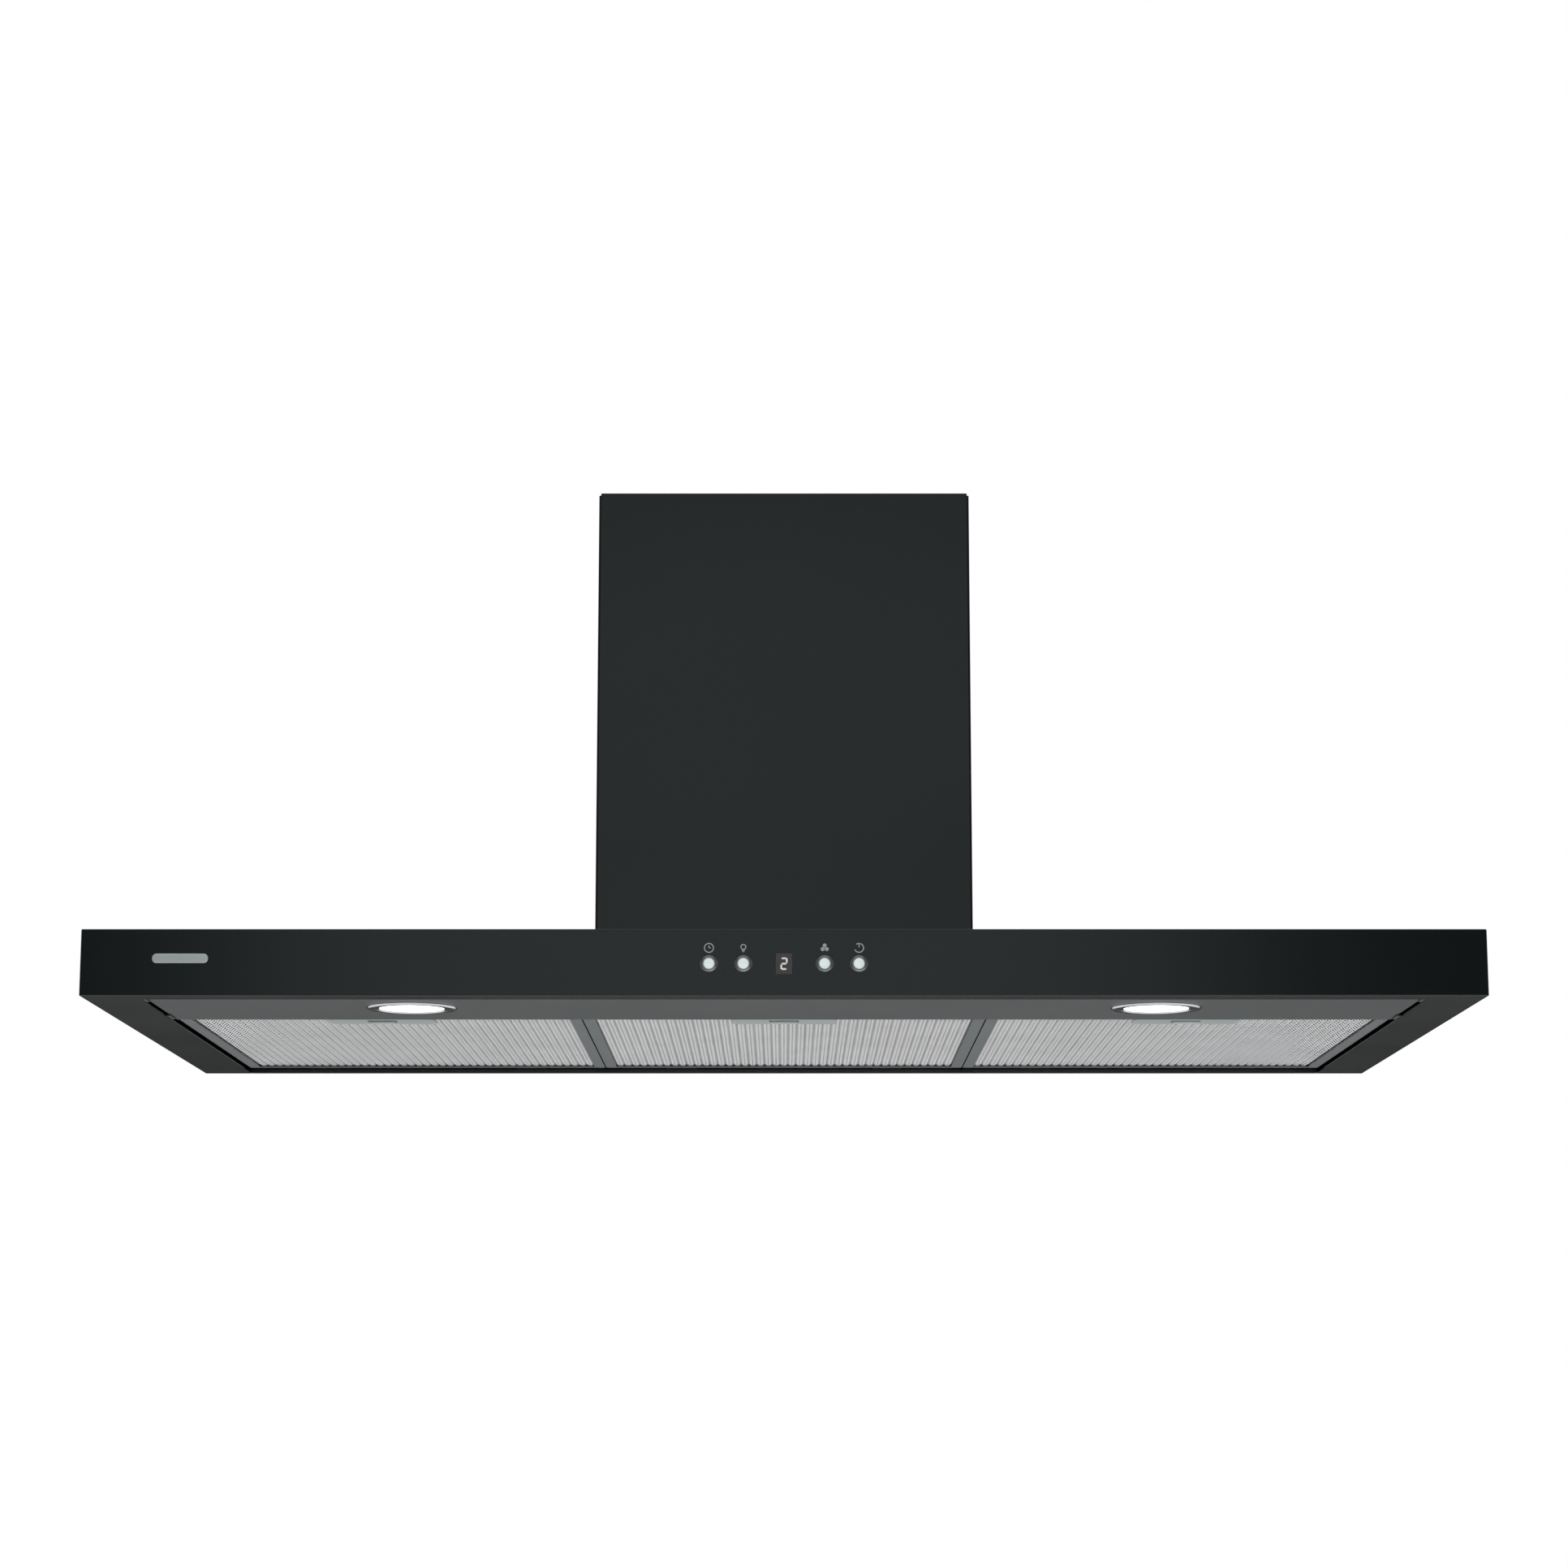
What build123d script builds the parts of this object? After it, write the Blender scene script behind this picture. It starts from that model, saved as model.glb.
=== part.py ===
"""A wall chimney range hood: a flat canopy, a telescopic chimney and the blower, lamps and filters in them.

Millimetres. The wall is the plane y = 0 and the room is on the -Y side, X runs along the wall and Z is up.
The origin is on the wall, at the middle of the width, level with the canopy's lower edge.
"""

import os
from math import asin, cos, degrees, hypot, radians, sin

from build123d import *

# Canopy
WIDTH = 900.0
DEPTH = 500.0
CANOPY_H = 43.0
SHEET = 0.8
CORNER_R = 1.5
FRONT_FLANGE = 20.0
SIDE_FLANGE = 36.0
REAR_FLANGE = 10.0
REAR_LIP_H = 2.4
FRONT_Y = -DEPTH
INNER_X = WIDTH / 2 - SIDE_FLANGE
ROOF_IN = CANOPY_H - SHEET
AIR_WINDOW = ((60.0, 116.0), (-240.0, -25.0))

# Lamp panel, behind the front flange
PANEL_Z = 2.0
PANEL_REAR_Y = -350.0
PANEL_GAP = 1.5
PANEL_FLANGE_H = 12.0
LAMP_X = 246.0
LAMP_Y = -418.0
LAMP_HOLE_R = 25.0
LENS_R = 20.8
LENS_DOME_R = 190.0
LENS_LOW_Z = 0.4
LENS_RIM_Z = LENS_LOW_Z + LENS_DOME_R - (LENS_DOME_R**2 - LENS_R**2) ** 0.5
LENS_TOP_Z = 4.0

# Grease filters, hung on the rear lip
FILTER_PITCH = 275.4
FILTER_GAP = 1.0
FILTER_H = 9.0
FILTER_Z = 3.0
FILTER_Y = (-349.0, -12.0)
FILTER_LIP = 8.0
FILTER_NAMES = {"left": -FILTER_PITCH, "centre": 0.0, "right": FILTER_PITCH}
MESH_SHEET = 0.4
LATCH_W = 72.0
LATCH_Y = (-340.5, -313.5)
TONGUE_TIP_Y = -353.5
TONGUE_W = 20.0
TONGUE_Z = (6.0, 7.5)
TAB_W = 18.0

# Control strip in the front face
CONTROL_Z = 20.6
BUTTON_X = {"timer": -48.0, "lamp": -26.0, "fan": 26.0, "power": 48.0}
BUTTON_R = 5.3
BUTTON_PROUD = 1.6
BUTTON_TRAVEL = 1.0
DISPLAY_W = 10.4
DISPLAY_H = 13.5
BOX_HALF_W = 74.0
BOX_Y = (-499.0, -478.0)
BOX_Z = (5.0, 39.0)
BOX_WALL = 1.6
GUIDE_Y = (-495.2, -493.6)
BOARD_Y = (-488.0, -486.4)
SWITCH_Y = -491.0
STEM_R = 2.0

# Badge, a plain plate
BADGE_X = -386.0
BADGE_Z = 24.0
BADGE_W = 36.0
BADGE_H = 6.0
BADGE_T = 0.8

# Chimney
CHIMNEY_W = 268.0
CHIMNEY_D = 260.0
CHIMNEY_TOP = 394.0
CHIMNEY_FLANGE = 12.0
SLIDE_GAP = 0.5
UPPER_Z = (62.0, 396.0)
UPPER_REAR_Y = -1.6
UPPER_HALF_W = CHIMNEY_W / 2 - SHEET - SLIDE_GAP
SLOT_ROWS = 5
SLOT_COLUMNS = 6
SLOT_W = 24.0
SLOT_H = 4.0
SLOT_PITCH = (34.0, 11.0)
BRACKET_Z = 382.0
BRACKET_SHEET = 1.2
BRACKET_SCREW_X = 126.0
BRACKET_HALF_W = 114.0
BRACKET_HOLES_X = (-80.0, 80.0)
BRACKET_HOLE_R = 3.0
CLIP_Y = (-160.0, -120.0)
CLIP_SHEET = 1.2

# Blower
AXIS_Y = -120.0
AXIS_Z = 152.0
SCROLL_STEP = 12.0
SCROLL_R = 82.0
SCROLL_HALF_W = 90.0
SCROLL_WALL = 2.0
TONGUE_ANGLE = 115.0
OUTLET_TOP = 262.0
OUTLET_REAR_Y = AXIS_Y + 60.0
INLET_R = 58.0
FAN_R = (56.0, 70.0)
FAN_HALF_W = 76.0
FAN_BLADES = 36
BLADE_LENGTH = 12.5
BLADE_T = 1.1
BLADE_TURN = -32.0
HUB_R = 12.0
HUB_X = (-19.5, 18.5)
SHAFT_R = 4.0
SHAFT_X = (-22.0, 74.0)
MOTOR_X = (26.0, 72.0)
MOTOR_R = 42.0
ARM_W = 12.0
ARM_REACH = 55.0
ARM_SHEET = 2.4
RING_R = (53.0, 68.0)
RING_SCREWS_AT = 64.0
LUG_R = 5.5
LUG_OUT = 4.2
LUG_X = 12.0
COLLAR_Y = (-238.0, -48.0)
COLLAR_HALF_W = 96.0
COLLAR_PLATE = 2.5
COLLAR_SCREWS = [(x, y) for x in (-92.0, 92.0) for y in (-234.0, -52.0)]
SPIGOT_Y = sum(COLLAR_Y) / 2
SPIGOT_R = 74.5
SPIGOT_WALL = 2.0
SPIGOT_TOP = 306.0
FLAP_SEAT_Z = 273.5
FLAP_SEAT_W = 2.5
FLAP_PIN_Z = 276.0
FLAP_PIN_R = 1.5
KNUCKLE_R = 2.6
KNUCKLE_W = 12.0
RUBBER_H = 9.0
RUBBER_AT = [(x, y) for x in (-40.0, 40.0) for y in (-172.0, -80.0)]

# Wall frame
FRAME_HALF_W = 118.0
FRAME_TOP = 350.0
FRAME_SHEET = 1.5
WALL_HOLE_R = 4.0
WALL_HOLES = [(x, z) for x in (-90.0, 90.0) for z in (85.0, 325.0)]
SAFETY_HOLE_R = 3.0
SAFETY_HOLES = [(-330.0, 26.0), (330.0, 26.0)]

# Electrical parts
TERMINAL_X = (24.0, 96.0)
TERMINAL_Y = (-40.0, -FRAME_SHEET)
TERMINAL_Z = (270.0, 310.0)
TERMINAL_WALL = 2.0
GLAND_AT = (72.0, -22.0)
GLAND_BORE_R = 4.0
CAPACITOR_AT = (-62.0, -21.0)
CAPACITOR_R = 15.0
CAPACITOR_Z = (266.0, 322.0)
CLAMP_Z = (288.0, 302.0)

# Screws
SCREW_R = 1.9
SCREW_HOLE_R = 2.1
HEAD_R = 3.6
HEAD_H = 2.2
RECESS = (4.2, 0.9, 1.2)
CASING_SCREWS = [(x, -9.0) for x in (-400.0, -210.0, -90.0, 0.0, 90.0, 210.0, 400.0)]
CLIP_SCREWS = [(x, y) for x in (-125.0, 125.0) for y in (-150.0, -130.0)]

os.makedirs("parts", exist_ok=True)


def write(part, name):
    """Labels a finished sub-part and writes its file."""
    part.label = name
    export_step(part, f"parts/{name}.step")


def block(x, y, z, mode=Mode.ADD):
    """Adds or cuts the box between the (low, high) pairs, in the builder that is open."""
    with Locations((sum(x) / 2, sum(y) / 2, sum(z) / 2)):
        Box(x[1] - x[0], y[1] - y[0], z[1] - z[0], mode=mode)


def both_sides(x, y, z, mode=Mode.ADD):
    """A box and its mirror image across the plane x = 0."""
    block(x, y, z, mode)
    block((-x[1], -x[0]), y, z, mode)


def rod(start, direction, radius, length, mode=Mode.ADD):
    """A round bar, or a round hole, from a point along a direction."""
    with BuildSketch(Plane(origin=start, z_dir=direction)) as disc:
        Circle(radius)
    extrude(disc.sketch, amount=length, mode=mode)


def screw(head_base, direction, shank):
    """A pan-head screw: its head stands against the direction that the shank runs in."""
    back = tuple(-c for c in direction)
    rod(head_base, back, HEAD_R, HEAD_H)
    rod(head_base, direction, SCREW_R, shank)
    top = tuple(p + b * HEAD_H for p, b in zip(head_base, back))
    with BuildSketch(Plane(origin=top, z_dir=direction)) as recess:
        Rectangle(RECESS[0], RECESS[1])
        Rectangle(RECESS[1], RECESS[0])
    extrude(recess.sketch, amount=RECESS[2], mode=Mode.SUBTRACT)


# ---------------------------------------------------------------- canopy


def canopy_shell():
    """The painted outer casing: front, sides and roof in one sheet, with flanges turned in below."""
    with BuildPart() as shell:
        with BuildSketch(Plane.XY):
            with Locations((0, -DEPTH / 2)):
                Rectangle(WIDTH, DEPTH)
        extrude(amount=CANOPY_H)
        fillet(shell.edges().filter_by(Axis.Z).group_by(Axis.Y)[0], CORNER_R)
        rims = shell.faces().filter_by(Axis.Z).edges().filter_by(lambda e: e.center().Y < -1)
        fillet(rims, CORNER_R / 2)
        block((SHEET - WIDTH / 2, WIDTH / 2 - SHEET), (FRONT_Y + SHEET, 0), (SHEET, ROOF_IN), Mode.SUBTRACT)
        block((-INNER_X, INNER_X), (FRONT_Y + FRONT_FLANGE, 0), (0, SHEET), Mode.SUBTRACT)
        both_sides(*AIR_WINDOW, (ROOF_IN, CANOPY_H), Mode.SUBTRACT)
        for x in BUTTON_X.values():
            rod((x, FRONT_Y, CONTROL_Z), (0, 1, 0), BUTTON_R + 0.3, SHEET, Mode.SUBTRACT)
        block((-DISPLAY_W / 2 - 0.1, DISPLAY_W / 2 + 0.1), (FRONT_Y, FRONT_Y + SHEET),
              (CONTROL_Z - DISPLAY_H / 2 - 0.1, CONTROL_Z + DISPLAY_H / 2 + 0.1), Mode.SUBTRACT)
        for x, y in RUBBER_AT + CASING_SCREWS + CLIP_SCREWS:
            rod((x, y, ROOF_IN), (0, 0, 1), SCREW_HOLE_R, SHEET, Mode.SUBTRACT)
    write(shell.part, "canopy_shell")


def rear_panel():
    """The back of the canopy, a channel whose lower lip carries the filters' tabs."""
    with BuildPart() as panel:
        half = WIDTH / 2 - SHEET - 0.05
        block((-half, half), (-SHEET, 0), (SHEET, ROOF_IN))
        block((-half, half), (-14, 0), (ROOF_IN - SHEET, ROOF_IN))
        edge = INNER_X - 0.5
        block((-edge, edge), (-REAR_FLANGE, 0), (0, SHEET))
        block((-edge, edge), (-REAR_FLANGE, -REAR_FLANGE + SHEET), (0, REAR_LIP_H))
        for x, z in SAFETY_HOLES:
            rod((x, -SHEET, z), (0, 1, 0), SAFETY_HOLE_R, SHEET, Mode.SUBTRACT)
        for x, y in CASING_SCREWS:
            rod((x, y, ROOF_IN - SHEET), (0, 0, 1), SCREW_HOLE_R, SHEET, Mode.SUBTRACT)
    write(panel.part, "rear_panel")


def lamp_panel():
    """The strip under the lamps, folded up at both long edges and slotted for the filters' latches."""
    half = INNER_X - PANEL_GAP
    front = FRONT_Y + 8
    with BuildPart() as panel:
        block((-half, half), (front, PANEL_REAR_Y), (PANEL_Z, PANEL_Z + SHEET))
        top = PANEL_Z + PANEL_FLANGE_H
        block((-half, half), (PANEL_REAR_Y - SHEET, PANEL_REAR_Y), (PANEL_Z, top))
        block((-half, half), (front, front + SHEET), (PANEL_Z, top))
        block((-BOX_HALF_W - 2, BOX_HALF_W + 2), (front, front + SHEET), (PANEL_Z + SHEET, top), Mode.SUBTRACT)
        for y in (-470.0, -372.0):
            both_sides((half - SHEET, half), (y - 10, y + 10), (SHEET, PANEL_Z + SHEET))
            both_sides((half - SHEET, half + 14), (y - 10, y + 10), (SHEET, 2 * SHEET))
        for x in (-LAMP_X, LAMP_X):
            rod((x, LAMP_Y, PANEL_Z), (0, 0, 1), LAMP_HOLE_R, SHEET, Mode.SUBTRACT)
        for x in FILTER_NAMES.values():
            slot = TONGUE_W / 2 + 1
            block((x - slot, x + slot), (PANEL_REAR_Y - SHEET, PANEL_REAR_Y),
                  (TONGUE_Z[0] - 0.8, TONGUE_Z[1] + 0.9), Mode.SUBTRACT)
    write(panel.part, "lamp_panel")


def badge():
    """A plain bonded plate at the left of the front face, with no mark on it."""
    with BuildPart() as plate:
        with BuildSketch(Plane.XZ.offset(DEPTH)):
            with Locations((BADGE_X, BADGE_Z)):
                SlotOverall(BADGE_W, BADGE_H)
        extrude(amount=BADGE_T)
        fillet(plate.faces().sort_by(Axis.Y)[0].edges(), 0.35)
    write(plate.part, "badge")


# ---------------------------------------------------------------- wall frame and casing screws


def wall_frame():
    """The galvanised frame that carries the hood on the wall, standing on the canopy's roof."""
    with BuildPart() as frame:
        block((-FRAME_HALF_W, FRAME_HALF_W), (-FRAME_SHEET, 0), (CANOPY_H, FRAME_TOP))
        both_sides((FRAME_HALF_W - FRAME_SHEET, FRAME_HALF_W), (-20, 0), (CANOPY_H, FRAME_TOP))
        block((-FRAME_HALF_W, FRAME_HALF_W), (-18, 0), (CANOPY_H, CANOPY_H + FRAME_SHEET))
        for x, z in WALL_HOLES:
            rod((x, -FRAME_SHEET, z), (0, 1, 0), WALL_HOLE_R, FRAME_SHEET, Mode.SUBTRACT)
        for x, y in CASING_SCREWS:
            if abs(x) < FRAME_HALF_W:
                rod((x, y, CANOPY_H), (0, 0, 1), SCREW_HOLE_R, FRAME_SHEET, Mode.SUBTRACT)
    write(frame.part, "wall_frame")


def casing_screws():
    """Screws that join the roof, the rear panel, the wall frame and the chimney clips."""
    with BuildPart() as screws:
        for x, y in CASING_SCREWS:
            under = CANOPY_H + (FRAME_SHEET if abs(x) < FRAME_HALF_W else 0)
            screw((x, y, under), (0, 0, -1), 7)
        for x, y in CLIP_SCREWS:
            screw((x, y, ROOF_IN), (0, 0, 1), 5)
    write(screws.part, "casing_screws")


# ---------------------------------------------------------------- chimney


def chimney_section(name, half_w, front_y, rear_y, flange, z):
    """A U of sheet, open to the wall, with its rear edges turned in."""
    with BuildPart() as cover:
        with BuildSketch(Plane.XY.offset(z[0])):
            with Locations((0, (front_y + rear_y) / 2)):
                Rectangle(2 * half_w, rear_y - front_y)
        extrude(amount=z[1] - z[0])
        fillet(cover.edges().filter_by(Axis.Z), CORNER_R)
        block((SHEET - half_w, half_w - SHEET), (front_y + SHEET, rear_y - SHEET), z, Mode.SUBTRACT)
        gap = half_w - flange
        block((-gap, gap), (rear_y - SHEET, rear_y), z, Mode.SUBTRACT)
        if name == "upper_chimney":
            for row in range(SLOT_ROWS):
                for column in range(SLOT_COLUMNS):
                    y = front_y + 45 + column * SLOT_PITCH[0]
                    level = z[1] - 30 - row * SLOT_PITCH[1]
                    block((-half_w, half_w), (y, y + SLOT_W), (level, level + SLOT_H), Mode.SUBTRACT)
            for x in (-BRACKET_SCREW_X, BRACKET_SCREW_X):
                rod((x, rear_y - SHEET, BRACKET_Z), (0, 1, 0), SCREW_HOLE_R, SHEET, Mode.SUBTRACT)
    write(cover.part, name)


def chimney_bracket():
    """The strip that holds the upper section to the wall under the ceiling."""
    inner_y = UPPER_REAR_Y - SHEET
    ear_y = inner_y - BRACKET_SHEET
    step_x = BRACKET_HALF_W - BRACKET_SHEET
    with BuildPart() as bracket:
        z = (BRACKET_Z - 10, BRACKET_Z + 10)
        block((-BRACKET_HALF_W, BRACKET_HALF_W), (-BRACKET_SHEET, 0), z)
        both_sides((step_x, BRACKET_HALF_W), (ear_y, 0), z)
        both_sides((step_x, UPPER_HALF_W - SHEET - 0.2), (ear_y, inner_y), z)
        for x in BRACKET_HOLES_X:
            rod((x, -BRACKET_SHEET, BRACKET_Z), (0, 1, 0), BRACKET_HOLE_R, BRACKET_SHEET, Mode.SUBTRACT)
        for x in (-BRACKET_SCREW_X, BRACKET_SCREW_X):
            rod((x, ear_y, BRACKET_Z), (0, 1, 0), SCREW_HOLE_R, BRACKET_SHEET, Mode.SUBTRACT)
    write(bracket.part, "chimney_bracket")
    with BuildPart() as screws:
        for x in (-BRACKET_SCREW_X, BRACKET_SCREW_X):
            screw((x, ear_y, BRACKET_Z), (0, 1, 0), BRACKET_SHEET + SHEET + 0.3)
    write(screws.part, "bracket_screws")


def chimney_clips():
    """Two angles on the roof that hold the foot of the lower section."""
    inner = CHIMNEY_W / 2 - SHEET
    with BuildPart() as clips:
        both_sides((inner - 14, inner), CLIP_Y, (CANOPY_H, CANOPY_H + CLIP_SHEET))
        both_sides((inner - CLIP_SHEET, inner), CLIP_Y, (CANOPY_H, CANOPY_H + 16))
        for x, y in CLIP_SCREWS:
            rod((x, y, CANOPY_H), (0, 0, 1), SCREW_R, CLIP_SHEET, Mode.SUBTRACT)
    write(clips.part, "chimney_clips")


# ---------------------------------------------------------------- grease filters


def filter_frame(side, x):
    """An aluminium channel round the mesh, with two tabs behind and a slot for the latch in front."""
    half = (FILTER_PITCH - FILTER_GAP) / 2
    y0, y1 = FILTER_Y
    top = FILTER_Z + FILTER_H
    with BuildPart() as frame:
        with BuildSketch(Plane.XY.offset(FILTER_Z)):
            with Locations((x, (y0 + y1) / 2)):
                RectangleRounded(2 * half, y1 - y0, 3)
        extrude(amount=FILTER_H)
        block((x - half + SHEET, x + half - SHEET), (y0 + SHEET, y1 - SHEET),
              (FILTER_Z + SHEET, top - SHEET), Mode.SUBTRACT)
        block((x - half + FILTER_LIP, x + half - FILTER_LIP), (y0 + FILTER_LIP, y1 - FILTER_LIP),
              (FILTER_Z, top), Mode.SUBTRACT)
        for tab in (-80, 80):
            block((x + tab - 11, x + tab + 11), (y1 - 1, y1 + 8), (FILTER_Z, FILTER_Z + SHEET))
        slot = TONGUE_W / 2 + 0.5
        block((x - slot, x + slot), (y0, y0 + SHEET), (TONGUE_Z[0] - 0.4, TONGUE_Z[1] + 0.4), Mode.SUBTRACT)
    write(frame.part, f"filter_{side}_frame")


def filter_mesh(side, x):
    """The outer layers of the aluminium mesh pack, held in the channel."""
    half = (FILTER_PITCH - FILTER_GAP) / 2 - SHEET - 0.3
    y = (FILTER_Y[0] + SHEET + 0.3, FILTER_Y[1] - SHEET - 0.3)
    low = FILTER_Z + SHEET + 0.1
    high = FILTER_Z + FILTER_H - SHEET - 0.1
    with BuildPart() as mesh:
        block((x - half, x + half), y, (low, low + MESH_SHEET))
        block((x - half, x + half), y, (high - MESH_SHEET, high))
        block((x - 10, x + 10), (-335, -323), (low, low + MESH_SHEET), Mode.SUBTRACT)
        block((x - 4.5, x + 4.5), (-316.5, -314), (low, low + MESH_SHEET), Mode.SUBTRACT)
    write(mesh.part, f"filter_{side}_mesh")


def filter_latch(side, x):
    """The latch: a fixed plate with a spring post, the sliding tongue with its finger tab, and the spring."""
    plate_top = FILTER_Z + SHEET + 0.1
    with BuildPart() as plate:
        with BuildSketch(Plane.XY.offset(FILTER_Z)):
            with Locations((x, sum(LATCH_Y) / 2)):
                RectangleRounded(LATCH_W, LATCH_Y[1] - LATCH_Y[0], 4)
        extrude(amount=plate_top - FILTER_Z)
        block((x - 4, x + 4), (-316, -314.5), (FILTER_Z, 9.5))
        block((x - 10, x + 10), (-335, -323), (FILTER_Z, plate_top), Mode.SUBTRACT)
    write(plate.part, f"filter_{side}_latch_plate")
    with BuildPart() as tongue:
        half = TONGUE_W / 2
        block((x - half, x + half), (TONGUE_TIP_Y, -326), TONGUE_Z)
        block((x - TAB_W / 2, x + TAB_W / 2), (-334, -331), (1.0, TONGUE_Z[1]))
        fillet(tongue.edges().filter_by(Axis.X).group_by(Axis.Z)[0], 0.9)
    write(tongue.part, f"filter_{side}_latch_tongue")
    with BuildPart() as spring:
        wire, coil, length = 0.3, 1.8, 9.6
        start = Plane(origin=(x, -325.8 + wire, sum(TONGUE_Z) / 2), x_dir=(1, 0, 0), z_dir=(0, 1, 0))
        with BuildLine():
            path = Helix(pitch=(length - 2 * wire) / 6, height=length - 2 * wire, radius=coil,
                         center=start.origin, direction=start.z_dir)
        with BuildSketch(Plane(origin=path @ 0, z_dir=path % 0)):
            Circle(wire)
        sweep(path=path, is_frenet=True)
    write(spring.part, f"filter_{side}_latch_spring")


# ---------------------------------------------------------------- lamps


def lamp(side, x):
    """A recessed spot: a turned trim, a domed lens and a finned housing clamped through the panel."""
    axis = Plane(origin=(x, LAMP_Y, 0), x_dir=(1, 0, 0), z_dir=(0, -1, 0))
    panel_top = PANEL_Z + SHEET
    with BuildPart() as trim:
        with BuildSketch(axis):
            with BuildLine():
                Polyline((24.4, PANEL_Z), (30, PANEL_Z), (30, 1.5), (28.9, 0.7), (23.2, 0.7), (21.4, 1.3),
                         (21.4, 2.4), (23.2, 2.4), (23.2, 8), (24.4, 8), (24.4, PANEL_Z))
            make_face()
        revolve(axis=Axis((x, LAMP_Y, 0), (0, 0, 1)))
    write(trim.part, f"lamp_{side}_trim")
    with BuildPart() as lens:
        with BuildSketch(axis):
            with BuildLine():
                CenterArc((0, LENS_LOW_Z + LENS_DOME_R), LENS_DOME_R, -90, degrees(asin(LENS_R / LENS_DOME_R)))
                Polyline((LENS_R, LENS_RIM_Z), (LENS_R, 2.5), (LENS_R + 2.1, 2.5), (LENS_R + 2.1, LENS_TOP_Z),
                         (0, LENS_TOP_Z), (0, LENS_LOW_Z))
            make_face()
        revolve(axis=Axis((x, LAMP_Y, 0), (0, 0, 1)))
    write(lens.part, f"lamp_{side}_lens")
    with BuildPart() as housing:
        rod((x, LAMP_Y, panel_top), (0, 0, 1), 29, 1.2)
        rod((x, LAMP_Y, panel_top), (0, 0, 1), 26.5, 33)
        rod((x, LAMP_Y, panel_top), (0, 0, 1), 24.6, 20, Mode.SUBTRACT)
        for fin in range(-3, 4):
            centre = LAMP_Y + fin * 7
            block((x - 30, x + 30), (centre - 2.2, centre + 2.2), (panel_top + 25, panel_top + 34), Mode.SUBTRACT)
    write(housing.part, f"lamp_{side}_housing")


def lamp_boards():
    """The light boards, one at the top of each lamp's housing, with a raised emitter."""
    with BuildPart() as boards:
        for x in (-LAMP_X, LAMP_X):
            rod((x, LAMP_Y, 21.2), (0, 0, 1), 22, 1.6)
            rod((x, LAMP_Y, 20.2), (0, 0, 1), 7, 1.0)
    write(boards.part, "lamp_boards")


# ---------------------------------------------------------------- controls


def control_box():
    """The moulded housing behind the front face, with guides for the button stems."""
    inner = BOX_HALF_W - BOX_WALL
    inside = (BOX_Z[0] + BOX_WALL, BOX_Z[1] - BOX_WALL)
    with BuildPart() as box:
        block((-BOX_HALF_W, BOX_HALF_W), BOX_Y, BOX_Z)
        block((-inner, inner), (BOX_Y[0], GUIDE_Y[0]), inside, Mode.SUBTRACT)
        block((-inner, inner), (GUIDE_Y[1], BOX_Y[1]), inside, Mode.SUBTRACT)
        for x in BUTTON_X.values():
            rod((x, GUIDE_Y[0], CONTROL_Z), (0, 1, 0), STEM_R + 0.3, BOX_WALL, Mode.SUBTRACT)
        block((-8, 8), GUIDE_Y, (CONTROL_Z - 10, CONTROL_Z + 10), Mode.SUBTRACT)
        for x in (-66, 66):
            rod((x, GUIDE_Y[1], CONTROL_Z), (0, 1, 0), 3, BOARD_Y[0] - GUIDE_Y[1])
    write(box.part, "control_box")


def control_board():
    """The circuit board with its four tact switches, a relay and a connector."""
    with BuildPart() as board:
        block((-71.5, 71.5), BOARD_Y, (8, 36))
        for x in BUTTON_X.values():
            block((x - 3, x + 3), (SWITCH_Y, BOARD_Y[0]), (CONTROL_Z - 3, CONTROL_Z + 3))
        block((-60, -40), (BOARD_Y[1], -479), (12, 28))
        block((30, 52), (BOARD_Y[1], -480), (22, 30))
    write(board.part, "control_board")


def display():
    """The single-digit display block on the board and the tinted window in front of it."""
    with BuildPart() as module:
        block((-6, 6), (-498.2, BOARD_Y[0]), (CONTROL_Z - 8, CONTROL_Z + 8))
    write(module.part, "display_module")
    with BuildPart() as window:
        w, h = DISPLAY_W / 2, DISPLAY_H / 2
        block((-w, w), (FRONT_Y - 0.1, FRONT_Y + SHEET), (CONTROL_Z - h, CONTROL_Z + h))
        block((-w - 2, w + 2), (FRONT_Y + SHEET, FRONT_Y + SHEET + 0.8), (CONTROL_Z - h - 2, CONTROL_Z + h + 2))
    write(window.part, "display_window")


def button(name, x):
    """A round push button: domed cap, retaining collar behind the sheet and a stem to its switch."""
    inside = FRONT_Y + SHEET
    with BuildPart() as cap:
        rod((x, FRONT_Y - BUTTON_PROUD, CONTROL_Z), (0, 1, 0), BUTTON_R, BUTTON_PROUD + SHEET + 0.4)
        fillet(cap.faces().sort_by(Axis.Y)[0].edges(), 1.2)
        rod((x, inside + 0.3, CONTROL_Z), (0, 1, 0), BUTTON_R + 1.4, 1.0)
        rod((x, inside + 1.3, CONTROL_Z), (0, 1, 0), STEM_R, SWITCH_Y - BUTTON_TRAVEL - 0.1 - (inside + 1.3))
    write(cap.part, f"button_{name}")


def led_driver():
    """The lamps' power supply, under the roof beside the control box."""
    with BuildPart() as driver:
        block((110, 196), (-472, -432), (24, ROOF_IN))
        fillet(driver.edges().filter_by(Axis.Z), 3)
    write(driver.part, "led_driver")


# ---------------------------------------------------------------- blower


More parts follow.
